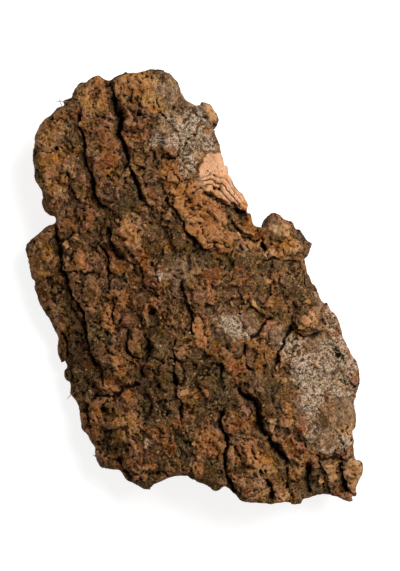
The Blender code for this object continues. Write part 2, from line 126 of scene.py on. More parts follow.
# Each fissure: its line, then depth, half width and lip in millimetres. The bark
# stands higher by the lip on the left hand of someone who walks along the line.
FISSURES = [
    ([(79, 111), (82, 120), (82, 128), (86, 136), (88, 146), (88, 156), (90, 164), (93, 173), (95, 184),
      (96, 194), (100, 203), (107, 208)], 9.0, 1.3, 4.0),
    ([(113, 81), (116, 92), (117, 103), (118, 112), (122, 119), (122, 129), (123, 139), (127, 148),
      (129, 158), (131, 168), (135, 178), (139, 188), (144, 199), (146, 208)], 10.0, 1.6, 3.5),
    ([(163, 197), (171, 205), (179, 212), (184, 221), (188, 230), (195, 241), (203, 248), (212, 252)],
     5.0, 1.2, 4.5),
    ([(200, 193), (212, 196), (219, 201), (228, 206), (236, 208), (243, 213), (251, 219)], 8.0, 1.8, 3.0),
    ([(228, 211), (231, 219), (236, 228), (243, 235), (252, 238), (260, 242), (266, 250)], 8.0, 1.9, 2.0),
    ([(75, 232), (68, 239), (62, 246)], 5.0, 1.1, 1.5),
    ([(56, 224), (57, 232), (60, 243), (63, 253), (65, 263), (64, 272), (67, 281), (72, 292), (80, 303),
      (83, 313), (86, 325), (88, 338), (91, 349), (96, 358), (99, 366), (102, 375), (106, 386)],
     9.0, 1.5, 3.5),
    ([(110, 229), (113, 238), (116, 248), (119, 255), (127, 258)], 8.0, 1.5, 3.0),
    ([(99, 242), (104, 248), (108, 256), (111, 263), (112, 272), (110, 283), (110, 292)], 8.0, 1.5, 1.5),
    ([(114, 296), (115, 310), (115, 322), (119, 331)], 6.0, 1.2, 1.0),
    ([(80, 279), (86, 274), (93, 272), (103, 277)], 5.0, 1.4, -2.0),
    ([(141, 264), (143, 273), (146, 284), (149, 293)], 4.0, 1.1, 1.5),
    ([(151, 334), (151, 344), (149, 353), (149, 362), (145, 371), (144, 381)], 8.0, 1.6, 2.5),
    ([(130, 331), (128, 340), (129, 350), (134, 357), (141, 359), (147, 355)], 5.0, 1.2, 2.0),
    ([(89, 403), (96, 398), (106, 396), (114, 398), (121, 394), (124, 388), (133, 386), (143, 383)],
     7.0, 1.6, -3.5),
    ([(89, 403), (89, 413), (88, 424)], 5.0, 1.1, 2.0),
    ([(175, 337), (177, 346), (178, 357), (176, 369), (177, 382), (178, 393), (182, 402), (182, 413),
      (180, 423)], 8.0, 1.2, 2.5),
    ([(183, 281), (184, 290), (187, 300), (191, 308), (192, 318), (191, 328), (194, 336)], 6.0, 1.1, 2.0),
    ([(222, 360), (223, 371), (222, 381)], 5.0, 1.1, 1.5),
    ([(228, 404), (221, 413), (220, 422), (226, 432), (227, 442), (224, 452), (225, 463), (227, 474),
      (232, 485), (239, 496)], 10.0, 1.6, 3.0),
    ([(236, 384), (240, 391), (247, 396), (254, 398), (258, 407), (260, 418), (262, 428), (268, 434),
      (274, 443), (280, 451), (286, 458), (284, 466)], 13.0, 2.2, 3.0),
    ([(272, 317), (266, 322), (260, 328), (256, 335), (248, 339)], 7.0, 1.3, 2.5),
    ([(296, 325), (291, 329), (286, 337), (283, 345), (278, 354), (277, 364), (278, 376)], 8.0, 1.4, 3.5),
    ([(242, 345), (243, 354), (246, 362), (250, 370)], 7.0, 1.5, 1.5),
    ([(314, 453), (322, 456), (332, 455), (341, 458), (348, 465)], 7.0, 2.2, 2.0),
    ([(347, 467), (344, 474), (345, 484), (348, 493)], 8.0, 1.8, 3.0),
    ([(258, 468), (263, 476), (269, 483), (274, 489), (273, 497)], 8.0, 1.8, 1.5),
    ([(119, 455), (122, 465), (127, 474), (133, 482)], 7.0, 1.6, 2.5),
]

# Knobs, swellings and hollows: centre, half width and half length, rise in millimetres
SWELLINGS = [
    ((55, 150), (22, 34), 3.5), ((97, 84), (9, 7), 2.0), ((80, 92), (7, 8), 1.5),
    ((97, 150), (10, 16), 2.0), ((140, 88), (18, 10), 2.0), ((128, 106), (8, 7), 2.5),
    ((211, 115), (7, 11), 5.0), ((284, 232), (16, 16), 4.0), ((42, 250), (14, 22), 2.5),
    ((93, 286), (10, 9), 2.5), ((137, 343), (8, 12), 2.5), ((207, 435), (12, 14), 3.0),
    ((307, 321), (7, 9), 3.0), ((356, 474), (7, 14), 4.0), ((300, 476), (4, 10), 3.0),
    ((332, 478), (9, 12), 4.0), ((283, 492), (6, 8), 2.5), ((135, 236), (14, 17), 3.0),
    ((140, 425), (34, 22), 2.0), ((320, 385), (25, 45), 2.5), ((320, 488), (42, 22), -9.0),
    ((242, 188), (12, 32), -6.0), ((62, 352), (10, 40), -5.0), ((158, 232), (18, 26), -3.0),
    ((232, 262), (28, 12), -2.5), ((124, 118), (4, 6), -6.0), ((153, 313), (4, 8), -7.0),
    ((292, 312), (6, 14), -3.0), ((338, 355), (4, 6), -5.0), ((290, 256), (9, 3), -4.0),
    ((310, 484), (4, 11), -5.0), ((150, 472), (14, 3), -4.0), ((136, 131), (6, 3), -4.0),
]

# The slab stands on three worn spots: place, radius and drop in millimetres
FEET = [((42, 251), 13.0, 9.0), ((104, 449), 13.0, 10.5), ((297, 241), 13.0, 10.5)]

# The roughness, plates and cracks are a little stronger here than on the solid.
# The outer face's roughness: size across the grain, size along it, height
ROUGHNESS = [(0.026, 0.075, 0.0032), (0.012, 0.026, 0.0026), (0.0065, 0.0085, 0.0006)]
# Plates of bark: width, length over width, height of their edges, tilt, crack between
PLATES = [(0.017, 1.7, 0.0024, 0.06, 0.0022), (0.0085, 1.3, 0.0015, 0.12, 0.0009)]
# Lesser cracks along the grain: spacing, length over spacing, depth
CRACKS = [(0.019, 3.6, 0.0030), (0.010, 2.6, 0.0018)]
PLATE_CRACK = 0.10  # width of the cracks between plates, over the plates' width
CRACK_WIDTH = 0.055  # of the lesser cracks, over their spacing
CRACK_WANDER = (0.014, 0.35)  # size of their wandering, how far it goes over their spacing

VALLEY_SHARE = 0.36  # the part of a fissure's depth that belongs to its wide valley
VALLEY_WIDTH = 3.4  # over the fissure's own width
END_SHARE = 0.12  # the share of a fissure's length over which each end runs out
LIP_RISE = (0.80, -0.45)  # over the fissure's lip, on its high side and on its low side
LIP_REACH = (0.014, 0.010)  # how far each slopes away
LIP_LEAN = 0.007  # how far from a fissure the higher bark still leans over it
WIDTH_WANDER = (0.009, 0.70)  # size and share by which a fissure's width wanders

# What the solid is too coarse for, in the same terms
FINE_ROUGHNESS = [(0.0040, 0.0034, 0.0002), (0.0020, 0.0017, 0.0002)]
FINE_PLATES = [(0.0050, 0.8, 0.0006, 0.20, 0.0), (0.0026, 0.8, 0.0003, 0.24, 0.0)]
FINE_CRACKS = [(0.0054, 5.0, 0.0007)]
# Scales that bark lets go along the steps: width, length over width, thickness
SCALES = [(0.0090, 1.2, 0.0010), (0.0045, 0.8, 0.0006), (0.0022, 0.7, 0.0003)]
# How raggedly lines on the bark wander: size of the wandering, how far it goes
RAGGED = [(0.0120, 0.0016), (0.0050, 0.0012), (0.0024, 0.0007)]
# Round holes left by insects, and their radius in millimetres
HOLES = [((159, 385), 1.4), ((167, 413.5), 1.3), ((57, 150), 1.3), ((109, 178), 1.2), ((215, 187), 1.4),
         ((104, 410), 1.7), ((139.6, 116), 1.3)]
HOLE_DEPTH = 0.0045
HOLE_SIDES = 12
HOLE_WALL = (0.75, 1.15)  # shares of a hole's radius between which its wall drops
HOLE_RINGS = (0.45, 0.8, 1.05, 1.3, 1.7)  # rings of points round a hole, over its radius
HOLE_CLEAR = 2  # no other point lies nearer, over its radius
# Thin cracks that the solid leaves out, in the terms of FISSURES
THIN_CRACKS = [
    ([(341, 461), (344, 472), (347, 484), (352, 497)], 6.0, 1.3, 0.5),
    ([(306, 462), (308, 472), (308, 482), (310, 492)], 6.0, 1.7, 0.5),
    ([(318, 458), (323, 466), (326, 476), (325, 488)], 5.0, 1.5, 0.5),
    ([(286, 466), (289, 476), (287, 488)], 5.0, 1.1, 0.5),
    ([(174, 345), (176, 358), (176, 372), (178, 386), (178, 400)], 7.0, 0.9, 0.8),
    ([(213, 187), (218, 188), (223, 187)], 4.0, 1.2, 0.5),
    ([(237, 290), (243, 297), (246, 306)], 3.0, 0.7, 0.6),
    ([(150, 262), (158, 270), (160, 282)], 3.0, 0.7, 0.8),
    ([(62, 268), (70, 272), (78, 270), (88, 274)], 3.5, 0.8, 0.8),
    ([(250, 300), (258, 306), (270, 308)], 3.0, 0.7, 0.8),
    ([(196, 362), (199, 374), (197, 386)], 3.5, 0.8, 0.8),
    ([(262, 350), (266, 362), (265, 378)], 3.5, 0.8, 0.8),
    ([(104, 340), (110, 350), (118, 356)], 3.0, 0.8, 0.8),
    ([(150, 404), (158, 401), (168, 399), (176, 399)], 1.2, 0.8, 1.0),
    ([(300, 262), (304, 274), (308, 286)], 3.0, 0.8, 0.8),
    ([(262, 262), (272, 258), (284, 258), (296, 262)], 4.0, 1.0, 1.0),
    ([(156, 100), (160, 112), (166, 120), (172, 124)], 3.0, 0.9, 0.8),
    ([(296, 332), (304, 336), (314, 334), (322, 328)], 4.0, 1.0, 1.0),
]
# Above this height the relief is halved, which keeps its highest bumps near the solid's
CEILING = 0.0560

# How the grey bark and the fresh bark differ from the rest
PLATE_LOSS = (0.62, 0.90)  # of plates and cracks, on the grey bark and on the fresh bark
STEP_STRENGTH = 0.92  # how sharply layers end, where 1 is a full step
STEP_LOSS = (0.6, 0.5)  # of the thick and the thin layers' steps, on the grey bark
FINE_LOSS = 0.85  # of the finest relief, on the fresh bark
THICK_LAYER = 2.6  # thickness of the thick layers over the thin ones'
CRINKLES = (0.0062, 0.0024, 0.0020)  # the grey bark's folds: size across the grain, along it, depth

# How the broken edge is built up
LEDGES = (0.011, 6.5, 0.0013)  # length of its ledges, their number in its height, depth
EDGE_GRAIN = (0.0035, 0.0009)  # size and depth of its grain
EDGE_SET_IN = 0.0004  # how far all of it stands in
# A small wandering of the whole mesh: its size, how far it goes, seed
WARP = ((0.0085, 0.0008, 241), (0.0034, 0.00035, 244))
# Rounds of averaging that tell a narrow hollow and a wide valley from the bark around
HOLLOW_ROUNDS = 5
VALLEY_ROUNDS = 70

# Thin roots that have grown over the bark or hang from its edge
ROOTS = [
    [(60, 99), (62, 106), (66, 112), (69, 121), (75, 128)], [(57, 103), (63, 102), (70, 104), (77, 102)],
    [(76, 392), (72, 394), (69, 396), (66.5, 400)], [(168, 290), (174, 296), (183, 298), (190, 304)],
    [(128, 78), (133, 84), (140, 87), (147, 86)], [(322, 300), (327, 308), (333, 318), (336, 330)],
    [(270, 217), (276, 222), (284, 221), (291, 226)], [(92, 455), (99, 459), (106, 458), (112, 463)],
    [(232, 410), (240, 414), (246, 421), (249, 430)], [(150, 478), (157, 480), (165, 477), (172, 476)],
]
ROOT_SIDES = 6
ROOT_STEP = 0.0012
SCALE_SIDES = 9  # corners round the rim of a loose scale
SIZE_SPREAD = (0.5, 2.2)  # the least and the greatest loose piece, over the usual one

# The growth layers on the fresh bark at the right edge: a line that they run along
LAYER_GUIDE = [(172, 164), (188, 154), (206, 147), (224, 148), (242, 158), (262, 180)]
LAYER_SPACING = 0.0038
LAYERS_FROM = (4.0, 5.0)  # counts between which the grooves between the layers set in
LAYER_GROOVE = (0.0019, 0.20)  # depth of the grooves, and half width over the spacing

PATCH_BEND = (0.012, 0.0035)  # size of the wandering of the patches' edges, how far it goes
PATCH_EDGE = (0.35, 1.35)  # where a patch begins to fade and where it ends, over its half size
# Where each finish lies: centre, half width and half length of soft-edged patches
PATCHES = {
    "grey": [((172, 92), (16, 16)), ((188, 118), (28, 22)), ((198, 140), (22, 16)),
        ((165, 138), (22, 16)), ((318, 345), (22, 22)), ((325, 372), (28, 28)), ((308, 402), (14, 26)),
        ((342, 408), (16, 22)), ((330, 436), (26, 14)), ((302, 368), (14, 24)), ((232, 326), (28, 16)),
        ((182, 276), (14, 20)), ((278, 334), (12, 14)), ((148, 443), (6, 6)), ((318, 300), (8, 20)),
        ((278, 226), (12, 8))],
    "lichen": [((340, 386), (18, 13)), ((312, 402), (12, 18)), ((310, 430), (11, 12)),
        ((332, 320), (8, 15)), ((343, 352), (9, 20)), ((193, 142), (30, 11)), ((352, 366), (8, 14)),
        ((148, 443), (4, 6)), ((190, 122), (22, 12)), ((314, 372), (24, 22)), ((342, 442), (12, 7)),
        ((232, 322), (15, 10)), ((160, 142), (14, 9)), ((188, 162), (12, 14)), ((165, 274), (6, 7)),
        ((292, 350), (14, 18)), ((330, 348), (12, 12)), ((326, 448), (10, 5)), ((240, 334), (8, 6)),
        ((198, 106), (8, 8))],
    "buff": [((355, 474), (9, 18)), ((332, 474), (7, 13)), ((345, 463), (10, 5)), ((283, 494), (8, 6)),
        ((213, 113), (7, 12)), ((283, 230), (11, 9)), ((273, 424), (4, 8)), ((200, 158), (8, 10)),
        ((311, 320), (4, 8)), ((346, 430), (8, 8)), ((270, 252), (10, 6)), ((148, 443), (3, 4))],
    "peach": [((216, 162), (12, 12)), ((214, 172), (14, 14)), ((226, 184), (22, 14)),
        ((240, 200), (16, 12))],
    "orange": [((205, 224), (24, 22)), ((114, 384), (8, 10)), ((212, 448), (8, 10)),
        ((126, 300), (7, 12)), ((82, 262), (7, 10)), ((150, 466), (9, 6)), ((185, 198), (24, 16)),
        ((170, 176), (14, 12)), ((133, 88), (18, 12)), ((127, 236), (10, 16)), ((120, 366), (7, 15)),
        ((206, 438), (14, 18)), ((197, 465), (10, 12)), ((247, 455), (16, 16)), ((200, 393), (9, 8)),
        ((84, 418), (6, 8)), ((289, 414), (6, 14)), ((200, 332), (8, 16)), ((309, 321), (6, 8)),
        ((298, 474), (5, 9)), ((255, 236), (14, 8)), ((98, 92), (14, 14)), ((108, 318), (8, 14)),
        ((222, 238), (16, 12))],
    "gold": [((50, 140), (20, 26)), ((56, 172), (22, 26)), ((40, 262), (14, 22)),
        ((58, 316), (10, 20)), ((95, 100), (16, 20)), ((140, 86), (24, 14)), ((132, 232), (18, 20)),
        ((152, 104), (16, 12)), ((125, 425), (22, 18)), ((212, 190), (22, 14)), ((262, 470), (14, 18)),
        ((262, 492), (20, 6)), ((290, 246), (14, 10))],
    # The dark patches are partly darker bark and partly painted shade.
    "dark": [((158, 402), (26, 26)), ((112, 440), (16, 16)), ((132, 201), (12, 20)),
        ((181, 234), (14, 28)), ((236, 261), (28, 9)), ((276, 314), (14, 7)), ((82, 380), (20, 15)),
        ((271, 376), (9, 26)), ((211, 470), (13, 14)), ((126, 420), (9, 10)), ((74, 352), (12, 30)),
        ((70, 240), (6, 14)), ((86, 166), (5, 10)), ((120, 112), (6, 14)), ((315, 482), (34, 18)),
        ((158, 340), (12, 30)), ((165, 360), (16, 34)), ((100, 330), (10, 30)), ((226, 388), (10, 24)),
        ((160, 414), (20, 14)), ((262, 264), (30, 12)), ((205, 372), (28, 24)), ((190, 256), (28, 14)),
        ((186, 440), (14, 22)), ((212, 400), (16, 12)), ((320, 420), (9, 9)), ((304, 404), (7, 12)),
        ((300, 322), (14, 12)), ((290, 292), (18, 10)), ((256, 396), (10, 10)), ((275, 452), (10, 14)),
        ((240, 440), (8, 16)), ((268, 410), (14, 24)), ((278, 466), (14, 14)), ((222, 462), (12, 12)),
        ((198, 432), (14, 16))],
}


def pixel():
    """The size on the slab of one pixel of the picture that places are given in."""
    return SLAB_LENGTH / np.ptp(np.array(OUTLINE)[:, 1])


def on_slab(places):
    """Pixels as metres on the table, with the slab's box centred."""
    rim = np.array(OUTLINE, float)
    centre = (rim.min(axis=0) + rim.max(axis=0)) / 2
    return (np.array(places, float) - centre) * pixel() * (1, -1)


def along_and_across(places):
    """Distances across the grain from the crest, and along the grain."""
    across = places[:, 0] * np.cos(GRAIN_LEAN) + places[:, 1] * np.sin(GRAIN_LEAN) - CREST_OFFSET
    along = places[:, 1] * np.cos(GRAIN_LEAN) - places[:, 0] * np.sin(GRAIN_LEAN)
    return across, along


def gradient_noise(places, seed):
    """Smooth noise between about -1 and 1 over cells one unit wide."""
    places = np.column_stack([places, np.zeros((len(places), 3 - places.shape[1]))])
    chance = np.random.default_rng(seed)
    slopes = chance.normal(size=(256, 3))
    slopes /= np.linalg.norm(slopes, axis=1)[:, None]
    shuffle = chance.permutation(256)
    cell = np.floor(places).astype(int)
    inside = places - cell
    fade = inside**3 * (inside * (inside * 6 - 15) + 10)
    total = np.zeros(len(places))
    for corner in itertools.product((0, 1), repeat=3):
        key = np.zeros(len(places), int)
        for axis in range(3):
            key = shuffle[(key + cell[:, axis] + corner[axis]) & 255]
        weight = np.prod(np.where(corner, fade, 1 - fade), axis=1)
        total += weight * np.einsum("ij,ij->i", slopes[key], inside - corner)
    return total * 1.6


def cell_plates(places, seed, tilt=0.0):
    """For each place, the height of the plate that it is on, from -1 to 1 where it
    isn't tilted, and its distance from the plate's edge, over plates one unit wide."""
    chance = np.random.default_rng(seed)
    shift = chance.uniform(-0.42, 0.42, size=(64, 64, 2))
    height = chance.uniform(-1, 1, size=(64, 64))
    slope = chance.uniform(-tilt, tilt, size=(64, 64, 2))
    home = np.floor(places).astype(int)
    nearest = np.full(len(places), 9.0)
    second = np.full(len(places), 9.0)
    level = np.zeros(len(places))
    for step in itertools.product((-1, 0, 1), repeat=2):
        cell = home + step
        key = (cell[:, 0] & 63, cell[:, 1] & 63)
        reach = places - cell - 0.5 - shift[key]
        gap = np.linalg.norm(reach, axis=1)
        closer = gap < nearest
        second = np.where(closer, nearest, np.minimum(second, gap))
        level = np.where(closer, height[key] + (reach * slope[key]).sum(axis=1), level)
        nearest = np.where(closer, gap, nearest)
    return level, second - nearest


def from_line(places, line):
    """Distance from a line, the side on which each place lies (1 on the line's left
    hand), how far along the line its nearest point is, and the way to that point."""
    steps = np.linalg.norm(np.diff(line, axis=0), axis=1)
    run = np.concatenate([[0], np.cumsum(steps)]) / steps.sum()
    best = np.full(len(places), np.inf)
    side = np.zeros(len(places))
    share = np.zeros(len(places))
    toward = np.zeros((len(places), 2))
    for start, end, first, last in zip(line[:-1], line[1:], run[:-1], run[1:]):
        way = end - start
        reach = places - start
        t = np.clip(reach @ way / (way @ way), 0, 1)
        back = t[:, None] * way - reach
        gap = np.linalg.norm(back, axis=1)
        closer = gap < best
        best = np.where(closer, gap, best)
        side = np.where(closer, np.sign(way[0] * reach[:, 1] - way[1] * reach[:, 0]), side)
        share = np.where(closer, first + t * (last - first), share)
        toward[closer] = back[closer]
    return best, side, share, toward / np.maximum(best, 1e-9)[:, None]


def smooth_step(value, low, high):
    share = np.clip((value - low) / (high - low), 0, 1)
    return share * share * (3 - 2 * share)


def fissure_fade(share):
    """A fissure runs out at both of its ends."""
    return np.clip(np.minimum(share, 1 - share) / END_SHARE, 0, 1) ** 0.6


def fissure_relief(places, fissure):
    """The groove of a fissure, and how far the higher bark beside it leans over it."""
    line, depth, half_width, lip = fissure
    gap, side, share, toward = from_line(places, on_slab(line))
    fade = fissure_fade(share)
    size, amount = WIDTH_WANDER
    width = half_width * MM * np.maximum(1 + amount * gradient_noise(places / size, 401), 0.35)
    narrow = np.exp(-((gap / width) ** 2.2))
    wide = np.exp(-((gap / (VALLEY_WIDTH * width)) ** 1.6))
    groove = -depth * MM * ((1 - VALLEY_SHARE) * narrow + VALLEY_SHARE * wide)
    raised = np.sign(lip) == side
    reach = np.where(raised, *LIP_REACH)
    height = np.where(raised, *LIP_RISE) * abs(lip) * MM
    relief = fade * (groove + height * np.exp(-gap / reach))
    lean = raised * smooth_step(gap, 0.5 * width, 1.9 * width) * np.exp(-((gap / LIP_LEAN) ** 2))
    return relief, toward * (fade * lean)[:, None]


def swelling_relief(places, swelling):
    centre, half_size, rise = swelling
    offset = (places - on_slab(centre)) / (np.array(half_size) * pixel())
    distance = np.linalg.norm(offset, axis=1)
    return rise * MM * np.exp(-(distance**2.6))


def ragged(places):
    """The places shifted a little, so that a line drawn through them runs raggedly."""
    shifted = places.copy()
    for i, (size, amount) in enumerate(RAGGED):
        for axis in (0, 1):
            shifted[:, axis] += amount * gradient_noise(places / size, 301 + 2 * i + axis)
    return shifted


def plate_grid(places, width, stretch, seed):
    """The places counted in plates across and along the grain, on a bent grid."""
    across, along = along_and_across(places)
    bend = [0.5 * gradient_noise(places / (0.8 * width), seed + k) for k in (0, 1)]
    return np.column_stack([across, along / stretch]) / width + np.column_stack(bend)


def partly(places, size, seed):
    """1 over some parts of the bark and 0 over the rest, in blotches of a size."""
    return smooth_step(gradient_noise(places / size, seed), -0.15, 0.30)


def rough(places, octaves, plates, cracks, seeds):
    """Roughness, tilted plates that end in steps, and cracks, all along the grain."""
    across, along = along_and_across(places)
    relief = np.zeros(len(places))
    for i, (width, length, height) in enumerate(octaves):
        grid = np.column_stack([across / width, along / length])
        relief += height * gradient_noise(grid, seeds + i + 1)
    for i, (width, stretch, height, tilt, crack) in enumerate(plates):
        grid = plate_grid(places, width, stretch, seeds + 11 + 4 * i)
        level, edge = cell_plates(grid, seeds + 31 + i, tilt / height * width)
        relief += height * level
        open_here = partly(places, 2.2 * width, seeds + 61 + i)
        relief -= crack * open_here * np.exp(-edge / PLATE_CRACK)
    for i, (spacing, stretch, depth) in enumerate(cracks):
        wander = CRACK_WANDER[1] * gradient_noise(places / CRACK_WANDER[0], seeds + 41 + i)
        grid = np.column_stack([across, along / stretch]) / spacing
        grid[:, 0] += wander
        narrow = np.exp(-np.abs(gradient_noise(grid, seeds + 51 + i)) / CRACK_WIDTH)
        relief -= depth * narrow * partly(places, 1.6 * spacing, seeds + 71 + i)
    return relief


def layered(relief, places, step, strength, seed):
    """The relief worn back in layers of a thickness, so that its slopes break into
    steps. Scales of bark that let go whole make the steps angular."""
    wander = np.zeros(len(places))
    for i, (width, stretch, amount) in enumerate(SCALES):
        grid = plate_grid(places, width, stretch, seed + 2 * i)
        wander += amount * cell_plates(grid, seed + 7 + i)[0]
    level = (relief + wander) / step
    part = level - np.floor(level)
    stepped = np.floor(level) + smooth_step(part, 0.42, 0.52)
    return relief + strength * (stepped - level) * step


def plate_shade(places, i):
    """A number from -1 to 1 for the plate that each place is on, for its colour."""
    width, stretch, _, _, _ = PLATES[i]
    return cell_plates(plate_grid(ragged(places), width, stretch, 11 + 4 * i), 31 + i)[0]


def patch(places, name):
    """How much each place belongs to one of the finishes, from 0 to 1."""
    size, amount = PATCH_BEND
    bend = np.column_stack([gradient_noise(places / size, seed) for seed in (211, 212)]) * amount
    places = ragged(places) + bend
    value = np.zeros(len(places))
    for centre, half_size in PATCHES[name]:
        offset = (places - on_slab(centre)) / (np.array(half_size) * pixel())
        value = np.maximum(value, 1 - smooth_step(np.linalg.norm(offset, axis=1), *PATCH_EDGE))
    return value


def smooth_loop(points, spacing):
    """Evenly spaced points along a closed Catmull-Rom curve through the points."""
    dense = []
    for i in range(len(points)):
        a, b, c, d = (points[(i + k) % len(points)] for k in (-1, 0, 1, 2))
        for t in np.linspace(0, 1, 12, endpoint=False):
            dense.append(
                0.5 * (2 * b + (c - a) * t + (2 * a - 5 * b + 4 * c - d) * t**2
                       + (3 * b - a - 3 * c + d) * t**3)
            )
    line = np.array(dense + dense[:1])
    run = np.concatenate([[0], np.cumsum(np.linalg.norm(np.diff(line, axis=0), axis=1))])
    marks = np.linspace(0, run[-1], round(run[-1] / spacing) + 1)[:-1]
    loop = np.column_stack([np.interp(marks, run, line[:, axis]) for axis in (0, 1)])
    if np.cross(loop, np.roll(loop, -1, axis=0)).sum() < 0:
        loop = loop[::-1]
    return loop - (loop.min(axis=0) + loop.max(axis=0)) / 2


def inward_normals(rim):
    """Unit vectors that point into the slab from an outline that runs to the left."""
    way = np.roll(rim, -1, axis=0) - np.roll(rim, 1, axis=0)
    way /= np.linalg.norm(way, axis=1)[:, None]
    return np.column_stack([-way[:, 1], way[:, 0]])


def edge_gap(places, guide):
    return from_line(places, np.vstack([guide, guide[:1]]))[0]


def spread_points(rim, spacing, seed):
    """Points about one spacing apart all over the outline's box, a little shaken."""
    low, high = rim.min(axis=0), rim.max(axis=0)
    rows = np.arange(low[1], high[1], spacing * ROW_SPACING)
    columns = np.arange(low[0], high[0], spacing)
    x, y = np.meshgrid(columns, rows)
    x = x + (np.arange(len(rows)) % 2)[:, None] * spacing / 2
    grid = np.column_stack([x.ravel(), y.ravel()])
    return grid + np.random.default_rng(seed).uniform(-SHAKE, SHAKE, size=grid.shape) * spacing


def inside_rim(points, rim, margin):
    """The points that lie inside the outline, at least a margin from it."""
    turns = np.zeros(len(points), bool)
    for start, end in zip(rim, np.roll(rim, -1, axis=0)):
        crosses = (start[1] > points[:, 1]) != (end[1] > points[:, 1])
        rise = np.where(crosses, end[1] - start[1], 1)
        at = start[0] + (points[:, 1] - start[1]) / rise * (end[0] - start[0])
        turns ^= crosses & (points[:, 0] < at)
    points = points[turns]
    return points[edge_gap(points, rim) >= margin]


def edge_curve(gap, width):
    """A quarter of an ellipse: 1 on the outline, falling to 0 at the width."""
    share = np.clip(1 - gap / width, 0, 1)
    return 1 - np.sqrt(1 - share**2)


def inner_rim(rim):
    """The inner face's outline: the broken edge leans in, as it does on a trunk."""
    across, along = along_and_across(rim)
    across = across * INNER_SHARE[0] + CREST_OFFSET
    along = along * INNER_SHARE[1]
    x = across * np.cos(GRAIN_LEAN) - along * np.sin(GRAIN_LEAN)
    y = across * np.sin(GRAIN_LEAN) + along * np.cos(GRAIN_LEAN)
    return np.column_stack([x, y])


def inner_height(places, guide):
    """Height of the inner face: the vault over the table, worn flat at the feet."""
    across, along = along_and_across(places)
    vault = np.sqrt(TRUNK_RADIUS**2 - across**2) - TRUNK_RADIUS + CROWN_HEIGHT
    width, length, height = INNER_RIBS
    vault += height * gradient_noise(np.column_stack([across / width, along / length]), 21)
    size, height = INNER_BUMPS
    vault += height * gradient_noise(places / size, 22)
    rise = UNDER_RISE * BARK_THICKNESS * edge_curve(edge_gap(places, guide), UNDER_ROUND)
    for place, radius, drop in FEET:
        distance = np.linalg.norm(places - on_slab(place), axis=1)
        foot = np.exp(-((distance / (radius * MM)) ** 4))
        vault -= drop * MM * foot
        rise *= 1 - foot
    return np.maximum(vault + rise, 0)


def crinkles(places):
    """Fine sharp folds across the grain, from -1 to 0, as on the weathered grey bark."""
    across, along = along_and_across(places)
    width, length, _ = CRINKLES
    return -np.abs(gradient_noise(np.column_stack([across / width, along / length]), 405))


def growth_count(places):
    """The fresh bark's growth layers at the right edge, counted from their guide line."""
    gap = from_line(places, on_slab(LAYER_GUIDE))[0]
    gap += 0.0012 * gradient_noise(places / 0.011, 221) + 0.0004 * gradient_noise(places / 0.0025, 222)
    gap += 0.0022 * gradient_noise(gap[:, None] / 0.0070, 223)
    return gap / LAYER_SPACING


def outer_surface(places, guide, sizes):
    """Height of the outer face, how far each place leans sideways, its relief, and
    that relief in millimetres as it was before it wore back in layers."""
    across, _ = along_and_across(places)
    torn = ragged(places)
    calm, fresh = patch(places, "grey"), patch(places, "peach")
    relief = rough(torn, ROUGHNESS, (), (), 0)
    kept = (1 - PLATE_LOSS[0] * calm) * (1 - PLATE_LOSS[1] * fresh)
    relief += kept * rough(torn, (), PLATES, CRACKS, 0)
    lean = np.zeros((len(places), 2))
    for fissure in FISSURES + THIN_CRACKS:
        groove, over = fissure_relief(torn, fissure)
        relief += groove
        lean += over
    for swelling in SWELLINGS:
        relief += swelling_relief(torn, swelling)
    worn = relief / MM
    strength = STEP_STRENGTH * (1 - STEP_LOSS[0] * calm) * (1 - fresh)
    relief = layered(relief, places, THICK_LAYER * sizes.layer, strength, 201)
    strength = STEP_STRENGTH * (1 - fresh) * (1 - STEP_LOSS[1] * calm)
    relief = layered(relief, places, sizes.layer, strength, 221)
    fine = rough(torn, FINE_ROUGHNESS, FINE_PLATES, FINE_CRACKS, 100)
    fine += CRINKLES[2] * calm * crinkles(torn)
    relief += sizes.fineness * fine * (1 - FINE_LOSS * fresh)
    count = growth_count(places)
    depth, half_width = LAYER_GROOVE
    groove = np.exp(-((np.abs(count % 1 - 0.5) / half_width) ** 2))
    relief -= depth * fresh * groove * smooth_step(count, *LAYERS_FROM)
    for place, radius in HOLES:
        distance = np.linalg.norm(places - on_slab(place), axis=1)
        edges = (share * radius * MM for share in HOLE_WALL)
        relief -= HOLE_DEPTH * (1 - smooth_step(distance, *edges))
    form = relief.copy()
    radius = TRUNK_RADIUS + BARK_THICKNESS
    top = np.sqrt(radius**2 - across**2) - TRUNK_RADIUS + CROWN_HEIGHT + relief
    under = inner_height(places, inner_rim(guide))
    top -= EDGE_DROP * (top - under) * edge_curve(edge_gap(places, guide), EDGE_ROUND)
    top -= 0.5 * np.maximum(top - CEILING, 0)
    return np.maximum(top, under + LEAST_WALL), lean * sizes.overhang, form, worn


def hole_points():
    """Rings of points that keep each small hole round."""
    turns = np.arange(HOLE_SIDES) * 2 * np.pi / HOLE_SIDES
    rings = []
    for place, radius in HOLES:
        for share in HOLE_RINGS:
            ring = np.column_stack([np.cos(turns + share), np.sin(turns + share)])
            rings.append(on_slab(place) + ring * share * radius * MM)
        rings.append(on_slab(place)[None])
    return np.vstack(rings)


def face_points(rim, guide, spacing, seed, extra):
    """The points inside an outline: the extra ones, and a spread that leaves them room."""
    plain = spread_points(rim, spacing, seed)
    plain = inside_rim(plain, guide, spacing * 0.75)
    for place, radius in HOLES if len(extra) else []:
        plain = plain[np.linalg.norm(plain - on_slab(place), axis=1) > radius * MM * HOLE_CLEAR]
    return np.vstack([plain, extra]) if len(extra) else plain


def triangulate(rim, points):
    """Triangles over the outline through all the points, the outline's own first."""
    flat = np.vstack([rim, points])
    _, _, faces, sources, _, _ = delaunay_2d_cdt(
        [Vector(point) for point in flat], [], [list(range(len(rim)))], 1, 1e-7
    )
    place = np.array([min(source) for source in sources])
    return flat, place[np.array(faces)]


